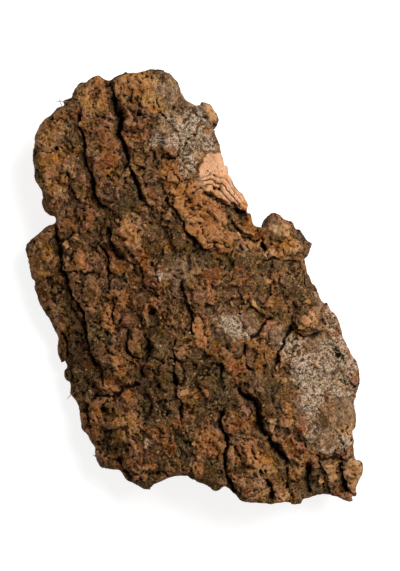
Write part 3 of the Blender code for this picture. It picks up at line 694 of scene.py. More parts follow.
def blurred(values, edges, rounds):
    """Values averaged with their neighbours' along the edges, a number of times."""
    first, second = edges
    size = len(values)
    count = np.bincount(first, minlength=size) + np.bincount(second, minlength=size)
    for _ in range(rounds):
        total = np.bincount(first, values[second], size) + np.bincount(second, values[first], size)
        values = 0.5 * (values + total / np.maximum(count, 1))
    return values


def face_edges(faces):
    pairs = np.vstack([faces[:, [0, 1]], faces[:, [1, 2]], faces[:, [2, 0]]])
    return np.unique(np.sort(pairs, axis=1), axis=0).T


def broken_wall(upper, lower, rim, rows):
    """Points of the broken edge between the two faces' rims. Its layers run along
    the slab and end unevenly."""
    inward = inward_normals(rim)
    length, number, depth = LEDGES
    size, height = EDGE_GRAIN
    loops = []
    for row in range(1, rows):
        share = row / rows
        middle = upper + (lower - upper) * share
        layer = np.column_stack([middle[:, :2] / length, np.full(len(rim), share * number)])
        ledge = depth * np.abs(gradient_noise(layer, 231))
        grain = height * gradient_noise(middle / size, 232)
        fade = np.sin(np.pi * share) ** 0.5
        middle[:, :2] += inward * (fade * (EDGE_SET_IN + ledge + grain))[:, None]
        loops.append(middle)
    return loops


def warp(points):
    """A small wandering of every point in all three directions, so that no wall is
    plumb and no crack straight."""
    shift = np.zeros_like(points)
    for size, amount, seed in WARP:
        for axis in range(3):
            shift[:, axis] += amount * gradient_noise(points / size, seed + axis)
    shift[:, 2] *= 0.5
    return points + shift


def add_values(mesh, name, values):
    """Gives every point of the mesh a number of its own, for the materials."""
    layer = mesh.attributes.new(name, "FLOAT", "POINT")
    layer.data.foreach_set("value", np.asarray(values, np.float32))


def link(name, mesh, materials):
    """Adds a piece of the bark that rides on the slab's body."""
    for material in materials:
        mesh.materials.append(material)
    piece = bpy.data.objects.new(name, mesh)
    bpy.context.scene.collection.objects.link(piece)
    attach(piece, BODY)
    return piece


def make_slab(sizes, colours):
    """The whole slab as one closed mesh: outer face, broken edge and inner face."""
    guide = smooth_loop(on_slab(OUTLINE), GUIDE_STEP)
    rim = smooth_loop(on_slab(OUTLINE), sizes.outer_step)
    points = face_points(rim, guide, sizes.outer_step, 5, hole_points())
    outer, outer_faces = triangulate(rim, points)
    low_rim, low_guide = inner_rim(rim), inner_rim(guide)
    points = face_points(low_rim, low_guide, sizes.inner_step, 6, [])
    inner, inner_faces = triangulate(low_rim, points)

    height, lean, form, worn = outer_surface(outer, guide, sizes)
    top = np.column_stack([outer + lean, height])
    under = inner_height(inner, low_guide)
    bottom = np.column_stack([inner, under])
    count = len(rim)
    walls = broken_wall(top[:count], bottom[:count], rim, sizes.edge_rows)

    verts = np.vstack([top, bottom, *walls])
    loops = [np.arange(count)]
    start = len(top) + len(bottom)
    loops += [start + row * count + np.arange(count) for row in range(len(walls))]
    loops.append(len(top) + np.arange(count))
    quads = []
    for above, below in zip(loops[:-1], loops[1:]):
        quads.append(np.column_stack([np.roll(above, -1), above, below, np.roll(below, -1)]))
    quads = np.vstack(quads)
    verts = warp(verts)
    resting = np.zeros(len(verts), bool)
    resting[len(top):start] = under <= 1e-6
    verts[resting, 2] = 0
    verts[:, 2] = np.maximum(verts[:, 2], 0)

    mesh = bpy.data.meshes.new("bark")
    faces = outer_faces.tolist() + (inner_faces[:, ::-1] + len(top)).tolist() + quads.tolist()
    mesh.from_pydata(verts.tolist(), [], faces)
    finish = [0] * len(outer_faces) + [2] * len(inner_faces) + [1] * len(quads)
    mesh.polygons.foreach_set("material_index", finish)
    mesh.shade_smooth()

    edges = face_edges(outer_faces)
    values = {
        # How far each point lies below the bark around it; the outer material darkens by these as painted
        # shade.
        "hollow": (blurred(form, edges, HOLLOW_ROUNDS) - form) / MM,
        "valley": (blurred(form, edges, VALLEY_ROUNDS) - form) / MM,
        "worn": worn,
        "growth": growth_count(outer),
    }
    values |= {f"plate_{i}": plate_shade(outer, i) for i in range(len(PLATES))}
    values |= {name: patch(outer, name) for name in PATCHES}
    rest = np.zeros(len(verts) - len(top))
    for name, amounts in values.items():
        add_values(mesh, name, np.concatenate([amounts, rest]))
    return mesh


# Loose pieces


def faces_of(piece):
    """A piece's faces, for finding where others rest on it."""
    mesh = piece.data
    corners = [corner.co.copy() for corner in mesh.vertices]
    return BVHTree.FromPolygons(corners, [tuple(face.vertices) for face in mesh.polygons])


def resting_spot(surface, place):
    """The point of the outer face under a place, and the way that it faces there."""
    point, normal, _, _ = surface.ray_cast(Vector((*place, 1.0)), Vector((0, 0, -1)))
    return point, normal


def scattered(count, margin, seed):
    """Places spread by chance over the slab, at least a margin from its outline."""
    rim = smooth_loop(on_slab(OUTLINE), GUIDE_STEP)
    tries = np.random.default_rng(seed).uniform(rim.min(axis=0), rim.max(axis=0), size=(3 * count, 2))
    return inside_rim(tries, rim, margin)[:count]


def scale_shape(chance, size, thickness):
    """The points of an irregular scale, curled up at its ends: the middle of its upper
    side, three rings, and the middle of its lower side."""
    turns = np.arange(SCALE_SIDES) + chance.uniform(-0.32, 0.32, SCALE_SIDES)
    turns = turns * 2 * np.pi / SCALE_SIDES
    reach = size * chance.uniform(0.62, 1.15, SCALE_SIDES)
    rim = np.column_stack([np.cos(turns) * reach, 0.7 * np.sin(turns) * reach])
    rings = [np.zeros((1, 2)), 0.55 * rim, rim, 0.94 * rim, np.zeros((1, 2))]
    lifts = [0.5, 0.62, 0.25, -0.5, -0.5]
    curl = chance.uniform(0.05, 0.32) / size
    return np.vstack([
        np.column_stack([ring, lift * thickness + curl * ring[:, 0] ** 2])
        for ring, lift in zip(rings, lifts)
    ])


def scale_faces():
    """The faces over the points of one scale."""
    n = SCALE_SIDES
    last = 3 * n + 1
    faces = []
    for i in range(n):
        j = (i + 1) % n
        faces.append((0, 1 + i, 1 + j))
        for ring in (1, 1 + n):
            faces.append((ring + i, ring + n + i, ring + n + j, ring + j))
        faces.append((last, 1 + 2 * n + j, 1 + 2 * n + i))
    return faces


def lump_shape():
    """The points and faces of a small round lump one unit in radius."""
    form = bmesh.new()
    bmesh.ops.create_icosphere(form, subdivisions=1, radius=1.0)
    points = np.array([corner.co for corner in form.verts])
    faces = [tuple(corner.index for corner in face.verts) for face in form.faces]
    form.free()
    return points, faces


def joined(name, shapes, shades):
    """One mesh of many small closed bodies, each with a shade of its own."""
    points, faces, tones = [], [], []
    start = 0
    for (corners, sides), shade in zip(shapes, shades):
        points += [tuple(corner) for corner in corners]
        faces += [tuple(start + k for k in side) for side in sides]
        tones += [shade] * len(corners)
        start += len(corners)
    mesh = bpy.data.meshes.new(name)
    mesh.from_pydata(points, [], faces)
    add_values(mesh, "shade", tones)
    return mesh


def make_scales(surface, litter):
    """Small scales of bark, each tilted so that one side of it is sunk in the slab."""
    chance = np.random.default_rng(61)
    sides = scale_faces()
    shapes = []
    for place in scattered(litter.scales, 0.004, 62):
        point, normal = resting_spot(surface, place)
        size = litter.scale_size * np.clip(chance.lognormal(0.0, 0.45), *SIZE_SPREAD)
        thickness = 0.00035 + 0.18 * size
        turn = normal.to_track_quat("Z", "X")
        turn = turn @ Quaternion((0, 0, 1), chance.uniform(0, 2 * np.pi))
        turn = turn @ Quaternion((0, 1, 0), chance.uniform(0.05, 0.45))
        shape = scale_shape(chance, size, thickness)
        if point.z < CEILING - 2 * size:
            shapes.append(([turn @ Vector(corner) + point for corner in shape], sides))
    return joined("loose_scales", shapes, chance.uniform(0, 1, len(shapes)))


def make_crumbs(surface, litter):
    """Grains of cork and soil that lie on the bark and in its cracks."""
    chance = np.random.default_rng(71)
    ball, sides = lump_shape()
    shapes = []
    for place in scattered(litter.crumbs, 0.003, 72):
        point, _ = resting_spot(surface, place)
        size = litter.crumb_size * np.clip(chance.lognormal(0.0, 0.40), *SIZE_SPREAD)
        lumps = chance.uniform(0.72, 1.20, (len(ball), 1))
        grain = ball * lumps * chance.uniform(0.7, 1.2, 3) * size
        grain = grain + np.array(point) + (0, 0, 0.25 * size)
        if point.z < CEILING - 2 * size:
            shapes.append((grain, sides))
    return joined("crumbs", shapes, chance.uniform(0, 1, len(shapes)))


def root_shape(surface, line, width):
    """A thin root along a line: a tube that lies on the bark and tapers at both ends."""
    places = smooth_line(on_slab(line), ROOT_STEP)
    spots = [resting_spot(surface, place)[0] for place in places]
    carried = [i for i, spot in enumerate(spots) if spot is not None]
    heights = np.interp(np.arange(len(spots)), carried, [spots[i].z for i in carried])
    heights = np.convolve(np.pad(heights, 2, mode="edge"), np.ones(5) / 5, mode="valid") + width
    path = np.column_stack([places, heights])
    way = np.gradient(path, axis=0)
    side = np.cross(way, (0, 0, 1))
    side /= np.linalg.norm(side, axis=1)[:, None]
    over = np.cross(side, way)
    over /= np.linalg.norm(over, axis=1)[:, None]
    share = np.linspace(0, 1, len(path))
    girth = width * (0.35 + 0.65 * np.sin(np.pi * share) ** 0.5)
    sides = ROOT_SIDES
    rings = []
    for k in range(sides):
        turn = 2 * np.pi * k / sides
        rings.append(path + girth[:, None] * (np.cos(turn) * side + np.sin(turn) * over))
    points = np.stack(rings, axis=1).reshape(-1, 3)
    faces = [tuple(range(sides - 1, -1, -1)), tuple(range(len(points) - sides, len(points)))]
    for i in range(len(path) - 1):
        for k in range(sides):
            here, after = i * sides, i * sides + (k + 1) % sides
            faces.append((here + k, after, after + sides, here + k + sides))
    return points, faces


def smooth_line(points, spacing):
    """Evenly spaced points along an open curve through the points."""
    steps = np.linalg.norm(np.diff(points, axis=0), axis=1)
    run = np.concatenate([[0], np.cumsum(steps)])
    marks = np.linspace(0, run[-1], max(round(run[-1] / spacing), 4) + 1)
    line = np.column_stack([np.interp(marks, run, points[:, axis]) for axis in (0, 1)])
    for _ in range(3):
        line[1:-1] = 0.25 * line[:-2] + 0.5 * line[1:-1] + 0.25 * line[2:]
    return line


def make_roots(surface, litter):
    shapes = [root_shape(surface, line, litter.root_width) for line in ROOTS]
    mesh = joined("root_fibres", shapes, np.linspace(0, 1, len(shapes)))
    mesh.shade_smooth()
    return mesh


# Materials

# Which sockets of Blender's Mix node are the colours
COLOUR_A, COLOUR_B, COLOUR_OUT = 6, 7, 2
PLAIN_SPECULAR = 0.5  # Blender's own default
DULL_SPECULAR = 0.06  # of dusty cork, which hardly shines
ALONG_GRAIN = 1.7  # how far the bark's blotches are drawn out along the grain


class Nodes:
    """Short ways to lay out a material's nodes."""

    def __init__(self, name):
        self.material = bpy.data.materials.new(name)
        self.material.use_nodes = True
        self.tree = self.material.node_tree
        self.shader = self.tree.nodes["Principled BSDF"]

    def add(self, kind, inputs=(), **settings):
        """A new node with its inputs and its settings."""
        node = self.tree.nodes.new(kind)
        for name, value in settings.items():
            setattr(node, name, value)
        for key, value in dict(inputs).items():
            self.give(node.inputs[key], value)
        return node

    def give(self, socket, value):
        """Links another node's output to a socket, or sets the socket's plain value."""
        if isinstance(value, bpy.types.NodeSocket):
            self.tree.links.new(value, socket)
        else:
            socket.default_value = value

    def value(self, name):
        """One of the mesh's own values, such as how deep in a crack a point lies."""
        return self.add("ShaderNodeAttribute", attribute_name=name).outputs["Fac"]

    def grain(self, stretch):
        """Coordinates in metres with the grain along Y, drawn out along it."""
        inputs = {"Vector": self.add("ShaderNodeTexCoord").outputs["Object"], "Angle": -GRAIN_LEAN}
        turned = self.add("ShaderNodeVectorRotate", inputs, rotation_type="Z_AXIS").outputs[0]
        return self.add("ShaderNodeMapping", {"Vector": turned, "Scale": (1, 1 / stretch, 1)}).outputs[0]

    def noise(self, place, size, detail=4.0, roughness=0.6):
        """Noise from 0 to 1 whose blotches are about one size wide."""
        inputs = {"Vector": place, "Scale": 1 / size, "Detail": detail, "Roughness": roughness}
        return self.add("ShaderNodeTexNoise", inputs).outputs["Fac"]

    def cells(self, place, size):
        """Distance to the nearest of many points about one size apart."""
        inputs = {"Vector": place, "Scale": 1 / size}
        return self.add("ShaderNodeTexVoronoi", inputs).outputs["Distance"]

    def range(self, value, low, high, start=0.0, end=1.0):
        """The value's share of the way from low to high, as a number from start to end."""
        inputs = {"Value": value, "From Min": low, "From Max": high, "To Min": start, "To Max": end}
        return self.add("ShaderNodeMapRange", inputs).outputs[0]

    def math(self, operation, first, second=0.0):
        node = self.add("ShaderNodeMath", operation=operation)
        self.give(node.inputs[0], first)
        self.give(node.inputs[1], second)
        return node.outputs[0]

    def times(self, first, second):
        return self.math("MULTIPLY", first, second)

    def mix(self, share, first, second):
        """The second colour over the first, by the share."""
        node = self.add("ShaderNodeMix", data_type="RGBA")
        self.give(node.inputs["Factor"], share)
        self.give(node.inputs[COLOUR_A], first)
        self.give(node.inputs[COLOUR_B], second)
        return node.outputs[COLOUR_OUT]

    def lay(self, under, over, mask, strength):
        """A colour laid over another where the mask is, at a strength from 0 to 1."""
        return self.mix(self.times(mask, strength), under, over)

    def tint(self, colour, hue, saturation, value):
        """A colour with its hue turned, where 0.5 keeps it, and the other two scaled."""
        inputs = {"Color": colour, "Hue": hue, "Saturation": saturation, "Value": value}
        return self.add("ShaderNodeHueSaturation", inputs).outputs[0]

    def ragged(self, mask, noise, low=0.40, high=0.62, reach=0.9):
        """A soft mask with its edge broken up by noise."""
        spread = self.range(noise, 0.30, 0.70, -reach / 2, reach / 2)
        return self.range(self.math("ADD", mask, spread), low, high)

    def bump(self, height, distance, strength, under=None):
        inputs = {"Height": height, "Distance": distance, "Strength": strength}
        if under is not None:
            inputs["Normal"] = under
        return self.add("ShaderNodeBump", inputs).outputs[0]

    def finished(self, colour, normal, roughness, specular=PLAIN_SPECULAR):
        """The material, once its shader has its colour, its relief and its gloss."""
        self.give(self.shader.inputs["Base Color"], colour)
        self.give(self.shader.inputs["Normal"], normal)
        self.shader.inputs["Roughness"].default_value = roughness
        self.shader.inputs["Specular IOR Level"].default_value = specular
        return self.material


def rgba(colour, strength=1.0):
    return (*(c * strength for c in colour), 1)


def weathered_bark(colours):
    """Outer bark: brown ridges over dark cracks, with fresh, grey and lichened places. Its cracks, valleys
    and dark patches are darkened with painted shade, and its crests lightened partly with a painted
    highlight.
    """
    m = Nodes("weathered_bark")
    grain, even = m.grain(ALONG_GRAIN), m.grain(1.0)
    broad = m.noise(grain, size=0.030, detail=10, roughness=0.74)
    middle = m.noise(even, size=0.0110, detail=9, roughness=0.78)
    small = m.noise(grain, size=0.0042, detail=6, roughness=0.78)
    grit = m.noise(even, size=0.0020, detail=4, roughness=0.80)
    dust = m.noise(even, size=0.0010, detail=3, roughness=0.85)
    hollow, valley = m.value("hollow"), m.value("valley")
    raised = m.range(hollow, 0.20, -0.25)

    wide_plates = m.math("ADD", m.value("plate_0"), m.range(broad, 0.35, 0.65, -1.0, 1.0))
    plates = m.math("ADD", m.value("plate_1"), m.range(middle, 0.35, 0.65, -0.6, 0.6))
    colour = m.mix(m.range(wide_plates, -0.2, 0.3), rgba(colours.brown), rgba(colours.dark))
    colour = m.lay(colour, rgba(colours.russet), m.range(plates, 0.20, 0.60), 0.75)
    colour = m.lay(colour, rgba(colours.olive), m.range(plates, -0.45, -0.90), 0.6)
    colour = m.lay(colour, rgba(colours.tan), m.range(small, 0.54, 0.64), 0.50)

    # Dark patches: partly the bark's darker tone, partly painted shade, as in the recess at the slab's
    # bottom right end.
    dark = m.ragged(m.value("dark"), middle)
    dark_and_shaded = m.mix(m.range(small, 0.45, 0.60), rgba(colours.olive), rgba(colours.dark))
    colour = m.lay(colour, dark_and_shaded, dark, 0.88)
    gold = m.ragged(m.value("gold"), small)
    colour = m.lay(colour, rgba(colours.gold), gold, 0.82)
    orange = m.ragged(m.value("orange"), middle)
    torn = m.mix(m.range(middle, 0.40, 0.52), rgba(colours.russet), rgba(colours.orange))
    colour = m.lay(colour, torn, orange, 0.80)
    grey = m.ragged(m.value("grey"), small, 0.25, 0.80)
    stone = m.mix(m.range(small, 0.42, 0.60), rgba(colours.grey, 0.30), rgba(colours.grey))
    stone = m.mix(m.range(middle, 0.50, 0.58), stone, rgba(colours.brown))
    colour = m.lay(colour, stone, grey, 0.78)
    buff = m.ragged(m.value("buff"), middle)
    colour = m.lay(colour, rgba(colours.buff), buff, 0.85)
    peach = m.ragged(m.value("peach"), middle, reach=0.5)
    fresh = m.mix(m.range(middle, 0.36, 0.46), rgba(colours.orange), rgba(colours.peach))
    seam = m.range(m.math("PINGPONG", m.value("growth"), 0.5), 0.30, 0.42)
    seam = m.times(seam, m.range(m.noise(even, size=0.0060, detail=4, roughness=0.7), 0.32, 0.40))
    seam = m.times(seam, m.range(m.value("growth"), *LAYERS_FROM))
    fresh = m.mix(m.times(seam, 0.95), fresh, rgba(colours.russet, 0.5))
    colour = m.lay(colour, fresh, peach, 0.92)

    # Partly rubbed wear, partly painted highlight: tan laid on crests that stand above the bark around, less
    # on the dark patches.
    crest = m.times(m.range(valley, -0.5, -2.4), m.range(dark, 0.0, 1.0, 1.0, 0.25))
    colour = m.lay(colour, rgba(colours.tan), crest, 0.42)
    # Painted shade with some dirt: dark olive laid in the wide valleys, less where the broad noise is high.
    low = m.times(m.range(valley, 0.1, 1.8), m.range(broad, 0.34, 0.56, 1.0, 0.35))
    colour = m.lay(colour, rgba(colours.olive, 0.62), low, 0.75)
    plain = colour
    hue = m.range(m.noise(even, size=0.0070, detail=5, roughness=0.75), 0.30, 0.70, 0.480, 0.514)
    saturation = m.range(middle, 0.35, 0.65, 1.20, 0.80)
    fine_speckle = m.range(dust, 0.32, 0.68, 0.50, 1.50)
    speckle = m.times(fine_speckle, m.range(grit, 0.32, 0.68, 0.58, 1.42))
    colour = m.tint(colour, hue, saturation, speckle)
    smooth = m.math("MAXIMUM", m.math("MAXIMUM", orange, buff), peach)
    colour = m.lay(colour, plain, smooth, 0.45)

    layer = m.math("ADD", m.times(m.value("worn"), 1.1), m.range(small, 0.0, 1.0, 0.0, 3.0))
    layer = m.math("PINGPONG", layer, 0.5)
    bared = m.range(m.noise(grain, size=0.0095, detail=5, roughness=0.7), 0.47, 0.56)
    pale_line = m.times(m.range(layer, 0.36, 0.46), bared)
    colour = m.lay(colour, rgba(colours.fleck), pale_line, 0.55)
    dark_line = m.times(m.range(layer, 0.13, 0.04), bared)
    colour = m.lay(colour, rgba(colours.deep), dark_line, 0.50)

    fleck = m.times(m.range(dust, 0.58, 0.64), raised)
    colour = m.lay(colour, rgba(colours.fleck), fleck, 0.65)
    lichen = m.ragged(m.value("lichen"), small, 0.30, 0.70)
    greenish = m.range(m.noise(even, size=0.012), 0.45, 0.55)
    crust = m.mix(greenish, rgba(colours.lichen), rgba(colours.lichen_green))
    crust = m.mix(m.range(dust, 0.46, 0.58), rgba(colours.grey), crust)
    powder = m.times(m.range(grit, 0.42, 0.55), m.range(hollow, 0.40, -0.08))
    colour = m.lay(colour, crust, m.times(lichen, powder), 0.82)

    # Painted shade: the deep colour darkens cracks, hollows and valleys, where shade falls, along with the
    # dirt that lies there.
    depth = m.math("MAXIMUM", m.range(hollow, 0.30, 1.30), m.range(valley, 1.2, 4.4))
    colour = m.lay(colour, rgba(colours.deep, 0.6), depth, 0.90)

    coarse = m.bump(small, distance=0.0005, strength=0.5)
    gritty = m.bump(grit, distance=0.0006, strength=0.8, under=coarse)
    relief = m.bump(dust, distance=0.0003, strength=0.8, under=gritty)
    return m.finished(colour, relief, roughness=0.95, specular=DULL_SPECULAR)


def broken_cork(colours):
    """The broken edge: granular cork in growth layers, tan where it is fresh."""
    m = Nodes("broken_cork")
    place = m.grain(1.0)
    layers = m.add("ShaderNodeMapping", {"Vector": place, "Scale": (0.25, 0.25, 1)}).outputs[0]
    bands = m.noise(layers, size=0.0016, detail=3, roughness=0.6)
    blotch = m.noise(place, size=0.009, detail=4)
    grit = m.noise(place, size=0.0010, detail=4, roughness=0.7)
    colour = m.mix(m.range(blotch, 0.42, 0.60), rgba(colours.brown), rgba(colours.tan, 0.8))
    colour = m.mix(m.range(bands, 0.60, 0.40), colour, rgba(colours.deep))
    colour = m.lay(colour, rgba(colours.fleck, 0.8), m.range(grit, 0.58, 0.72), 0.5)
    colour = m.lay(colour, rgba(colours.deep, 0.6), m.range(grit, 0.42, 0.30), 0.7)
    layered_bump = m.bump(bands, distance=0.0008, strength=0.7)
    relief = m.bump(grit, distance=0.0005, strength=0.7, under=layered_bump)
    return m.finished(colour, relief, roughness=0.94, specular=0.2)


def inner_bark(colours):
    """The inner face: smoother, reddish tan, with ribs and short dark pores."""
    m = Nodes("inner_bark")
    ribs = m.noise(m.grain(6.0), size=0.0035, detail=4, roughness=0.6)
    blotch = m.noise(m.grain(2.0), size=0.020, detail=5, roughness=0.6)
    grit = m.noise(m.grain(1.0), size=0.0012, detail=4, roughness=0.7)
    pores = m.cells(m.grain(2.5), 0.0055)
    colour = m.mix(m.range(blotch, 0.38, 0.62), rgba(colours.russet, 0.9), rgba(colours.tan, 0.75))
    colour = m.lay(colour, rgba(colours.brown, 0.7), m.range(ribs, 0.55, 0.35), 0.6)
    colour = m.lay(colour, rgba(colours.deep, 0.8), m.range(pores, 0.20, 0.10), 0.85)
    colour = m.lay(colour, rgba(colours.fleck, 0.8), m.range(grit, 0.58, 0.70), 0.35)
    low = m.bump(ribs, distance=0.0010, strength=0.6)
    relief = m.bump(grit, distance=0.0004, strength=0.5, under=low)
    return m.finished(colour, relief, roughness=0.88, specular=0.25)


def loose_cork(colours):
    """Scales and crumbs of cork, each of its own shade from brown to buff."""
    m = Nodes("loose_cork")
    shade, grit = m.value("shade"), m.noise(m.grain(1.0), size=0.0009, detail=3, roughness=0.7)
    colour = m.mix(m.range(shade, 0.1, 0.7), rgba(colours.brown), rgba(colours.tan))
    colour = m.mix(m.range(shade, 0.80, 1.0), colour, rgba(colours.buff))
    colour = m.tint(colour, 0.5, 1.0, m.range(grit, 0.30, 0.70, 0.55, 1.35))
    relief = m.bump(grit, distance=0.0004, strength=0.6)
    return m.finished(colour, relief, roughness=0.95, specular=DULL_SPECULAR)


def dry_root(colours):
    """Thin dead roots, greyish brown with darker rings."""
    m = Nodes("dry_root")
    rings = m.noise(m.grain(1.0), size=0.0016, detail=3, roughness=0.6)
    colour = m.mix(m.range(rings, 0.40, 0.60), rgba(colours.brown), rgba(colours.grey))
    return m.finished(colour, m.bump(rings, distance=0.0002, strength=0.5), roughness=0.90)


# Studio

FLOOR_HALF = 3.0
FLOOR_GREY = 0.42
FLOOR_ROUGHNESS = 0.9
FLOOR_GLOW = 0.80  # light of its own, which keeps the shadows on it pale
KEY_PLACE = (0.66, 0.52, 1.05)
KEY_WATTS = 25
KEY_SIZE = 0.80
KEY_COLOUR = (1.0, 0.97, 0.93)
FILL_STRENGTH = 0.28
LENS = 200  # in millimetres, as is the sensor's width
SENSOR = 36
PICTURE = (400, 571)  # in the pixels that places are given in
TRUE_HEIGHT = 0.030  # at this height over the floor the picture is true to scale


def make_floor():
    """A plain pale floor, bright enough to look white."""
    corners = [(x * FLOOR_HALF, y * FLOOR_HALF, 0) for x, y in ((-1, -1), (1, -1), (1, 1), (-1, 1))]
    floor = bpy.data.meshes.new("floor")
    floor.from_pydata(corners, [], [(0, 1, 2, 3)])
    m = Nodes("studio_floor")
    m.shader.inputs["Base Color"].default_value = rgba((FLOOR_GREY,) * 3)
    m.shader.inputs["Roughness"].default_value = FLOOR_ROUGHNESS
    m.shader.inputs["Emission Color"].default_value = (1, 1, 1, 1)
    m.shader.inputs["Emission Strength"].default_value = FLOOR_GLOW
    floor.materials.append(m.material)
    stage = bpy.data.objects.new("studio_floor", floor)
    bpy.context.scene.collection.objects.link(stage)


def make_light():
    """A soft light from the upper right, and an even fill from all around."""
    key = bpy.data.lights.new("key", "AREA")
    key.energy = KEY_WATTS
    key.size = KEY_SIZE
    key.color = KEY_COLOUR
    lamp = bpy.data.objects.new("key", key)
    lamp.location = KEY_PLACE
    lamp.rotation_euler = (-lamp.location).to_track_quat("-Z", "Y").to_euler()
    bpy.context.scene.collection.objects.link(lamp)

    world = bpy.data.worlds.new("studio")
    world.use_nodes = True
    background = world.node_tree.nodes["Background"]
    background.inputs["Color"].default_value = (1, 1, 1, 1)
    background.inputs["Strength"].default_value = FILL_STRENGTH
    bpy.context.scene.world = world


def make_camera():
    """A camera that looks straight down and shows the whole picture's height."""
    camera = bpy.data.cameras.new("camera")
    camera.lens = LENS
    camera.sensor_width = SENSOR
    view = bpy.data.objects.new("camera", camera)
    middle = (PICTURE[0] / 2, PICTURE[1] / 2)
    distance = PICTURE[1] * pixel() * LENS / SENSOR
    view.location = (*on_slab(middle), TRUE_HEIGHT + distance)
    bpy.context.scene.collection.objects.link(view)
    bpy.context.scene.camera = view
    bpy.context.scene.view_settings.view_transform = "Standard"


# Add-on


class BarkSizes(bpy.types.PropertyGroup):
    """Sizes of the finish, in metres"""

    outer_step: FloatProperty(name="Outer spacing", description="Spacing of the outer face's points",
                              default=0.00088, min=0.0005, unit="LENGTH")
    inner_step: FloatProperty(name="Inner spacing", description="Spacing of the inner face's points",
                              default=0.0024, min=0.0005, unit="LENGTH")
    edge_rows: IntProperty(name="Edge rows", description="Rows of faces in the broken edge",
                           default=14, min=2)
    layer: FloatProperty(name="Layer", description="Thickness of the layers that the bark wears back in",
                         default=0.0014, min=0.0002, unit="LENGTH")
    overhang: FloatProperty(name="Overhang", description="How far lips of bark lean over the fissures",
                            default=0.0018, min=0.0, unit="LENGTH")
    fineness: FloatProperty(name="Fine relief", description="Strength of the finest relief",
                            default=1.0, min=0.0, subtype="FACTOR")


def colour_property(name, description, default):
    return FloatVectorProperty(
        name=name, description=description, default=default, subtype="COLOR", min=0, max=1
    )


class BarkColours(bpy.types.PropertyGroup):
    """Colours of the bark, as linear values"""

    brown: colour_property("Brown", "Weathered ridges", (0.140, 0.064, 0.024))
    dark: colour_property("Dark", "Darker bark", (0.062, 0.029, 0.011))
    # Tan is also laid on the crests, there partly as a painted highlight.
    russet: colour_property("Russet", "Warmer bark", (0.200, 0.068, 0.022))
    tan: colour_property("Tan", "Rubbed crests", (0.340, 0.168, 0.066))
    # Deep also paints the shade in cracks, hollows and valleys.
    deep: colour_property("Deep", "Cracks and dirt", (0.020, 0.011, 0.006))
    # Olive also paints the shade along the wide valleys and in the dark patches.
    olive: colour_property("Olive", "Damp dark bark", (0.064, 0.042, 0.015))
    gold: colour_property("Gold", "Golden brown bark", (0.345, 0.172, 0.060))
    orange: colour_property("Orange", "Freshly broken bark", (0.400, 0.165, 0.048))
    grey: colour_property("Grey", "Sun-bleached bark", (0.345, 0.230, 0.142))
    peach: colour_property("Peach", "Fresh cork of the right edge", (0.640, 0.345, 0.190))
    buff: colour_property("Buff", "Dry broken corners", (0.430, 0.240, 0.110))
    fleck: colour_property("Flecks", "Pale cork grains", (0.460, 0.280, 0.130))
    lichen: colour_property("Lichen", "Whitish lichen", (0.600, 0.530, 0.430))
    lichen_green: colour_property("Green lichen", "Greenish lichen", (0.460, 0.430, 0.330))


class BarkLitter(bpy.types.PropertyGroup):
    """Loose pieces on the bark, with sizes in metres"""

    scales: IntProperty(name="Scales", default=340, min=1,
                        description="Loose scales tried; those on the highest bark are left out")
    scale_size: FloatProperty(name="Scale size", description="Usual half length of a scale",
                              default=0.0017, min=0.0005, unit="LENGTH")
    crumbs: IntProperty(name="Crumbs", default=620, min=1,
                        description="Grains of cork and soil tried; the highest bark gets none")
    crumb_size: FloatProperty(name="Crumb size", description="Usual radius of a grain",
                              default=0.00055, min=0.0002, unit="LENGTH")
    root_width: FloatProperty(name="Root width", description="Radius of the thin roots",
                              default=0.00026, min=0.0001, unit="LENGTH")


def slab_faces():
    """The finished slab's faces. The slab has to be made before what lies on it."""
    slab = bpy.data.objects.get("bark")
    if slab is None:
        raise RuntimeError("Make the bark slab first")
    return faces_of(slab)


class CORKBARK_OT_slab(bpy.types.Operator):
    """Make the slab's fissured outer face, broken edge and inner face"""

    bl_idname = "corkbark.slab"
    bl_label = "Bark Slab"

    def execute(self, context):
        sizes, colours = context.scene.bark_sizes, context.scene.bark_colours
        mesh = make_slab(sizes, colours)
        slab = link("bark", mesh, [weathered_bark(colours), broken_cork(colours), inner_bark(colours)])
        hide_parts(NODE)
        return {"FINISHED"}


class CORKBARK_OT_scales(bpy.types.Operator):
    """Lay small loose scales over the outer face"""

    bl_idname = "corkbark.scales"
    bl_label = "Loose Scales"

    def execute(self, context):
        mesh = make_scales(slab_faces(), context.scene.bark_litter)
        link("loose_scales", mesh, [loose_cork(context.scene.bark_colours)])
        return {"FINISHED"}


class CORKBARK_OT_crumbs(bpy.types.Operator):
    """Scatter grains of cork and soil over the outer face"""

    bl_idname = "corkbark.crumbs"
    bl_label = "Crumbs"

    def execute(self, context):
        mesh = make_crumbs(slab_faces(), context.scene.bark_litter)
        link("crumbs", mesh, [loose_cork(context.scene.bark_colours)])
        return {"FINISHED"}


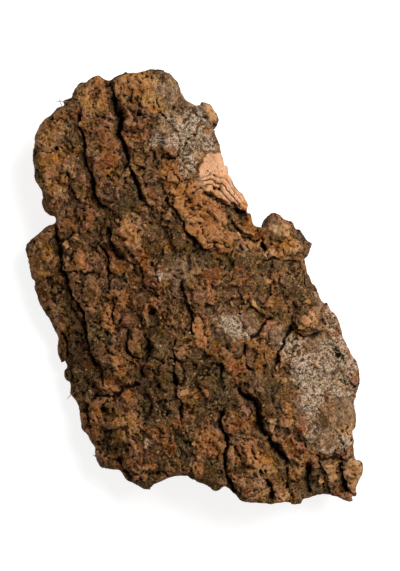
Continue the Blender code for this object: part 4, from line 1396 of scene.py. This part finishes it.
class CORKBARK_OT_roots(bpy.types.Operator):
    """Lay thin dead roots over the bark and its edge"""

    bl_idname = "corkbark.roots"
    bl_label = "Root Fibres"

    def execute(self, context):
        mesh = make_roots(slab_faces(), context.scene.bark_litter)
        link("root_fibres", mesh, [dry_root(context.scene.bark_colours)])
        return {"FINISHED"}


class CORKBARK_OT_studio(bpy.types.Operator):
    """Set up the pale floor, the soft light and the camera above the slab"""

    bl_idname = "corkbark.studio"
    bl_label = "Studio"

    def execute(self, context):
        make_floor()
        make_light()
        make_camera()
        return {"FINISHED"}


class CORKBARK_PT_panel(bpy.types.Panel):
    """Sizes, colours and steps of the finish"""

    bl_idname = "CORKBARK_PT_panel"
    bl_label = "Cork Bark"
    bl_space_type = "VIEW_3D"
    bl_region_type = "UI"
    bl_category = "Cork Bark"

    def draw(self, context):
        scene = context.scene
        for group in (scene.bark_sizes, scene.bark_litter, scene.bark_colours):
            for name in group.bl_rna.properties.keys():
                if name not in ("rna_type", "name"):
                    self.layout.prop(group, name)
        for step in STEPS:
            self.layout.operator(step.bl_idname)


STEPS = (CORKBARK_OT_slab, CORKBARK_OT_scales, CORKBARK_OT_crumbs, CORKBARK_OT_roots, CORKBARK_OT_studio)
CLASSES = (BarkSizes, BarkColours, BarkLitter, *STEPS, CORKBARK_PT_panel)


def register():
    for item in CLASSES:
        bpy.utils.register_class(item)
    bpy.types.Scene.bark_sizes = PointerProperty(type=BarkSizes)
    bpy.types.Scene.bark_colours = PointerProperty(type=BarkColours)
    bpy.types.Scene.bark_litter = PointerProperty(type=BarkLitter)


def unregister():
    del bpy.types.Scene.bark_litter
    del bpy.types.Scene.bark_colours
    del bpy.types.Scene.bark_sizes
    for item in reversed(CLASSES):
        bpy.utils.unregister_class(item)


def main():
    register()
    bpy.ops.corkbark.slab()
    bpy.ops.corkbark.scales()
    bpy.ops.corkbark.crumbs()
    bpy.ops.corkbark.roots()
    bpy.ops.corkbark.studio()


if __name__ == "__main__":
    main()
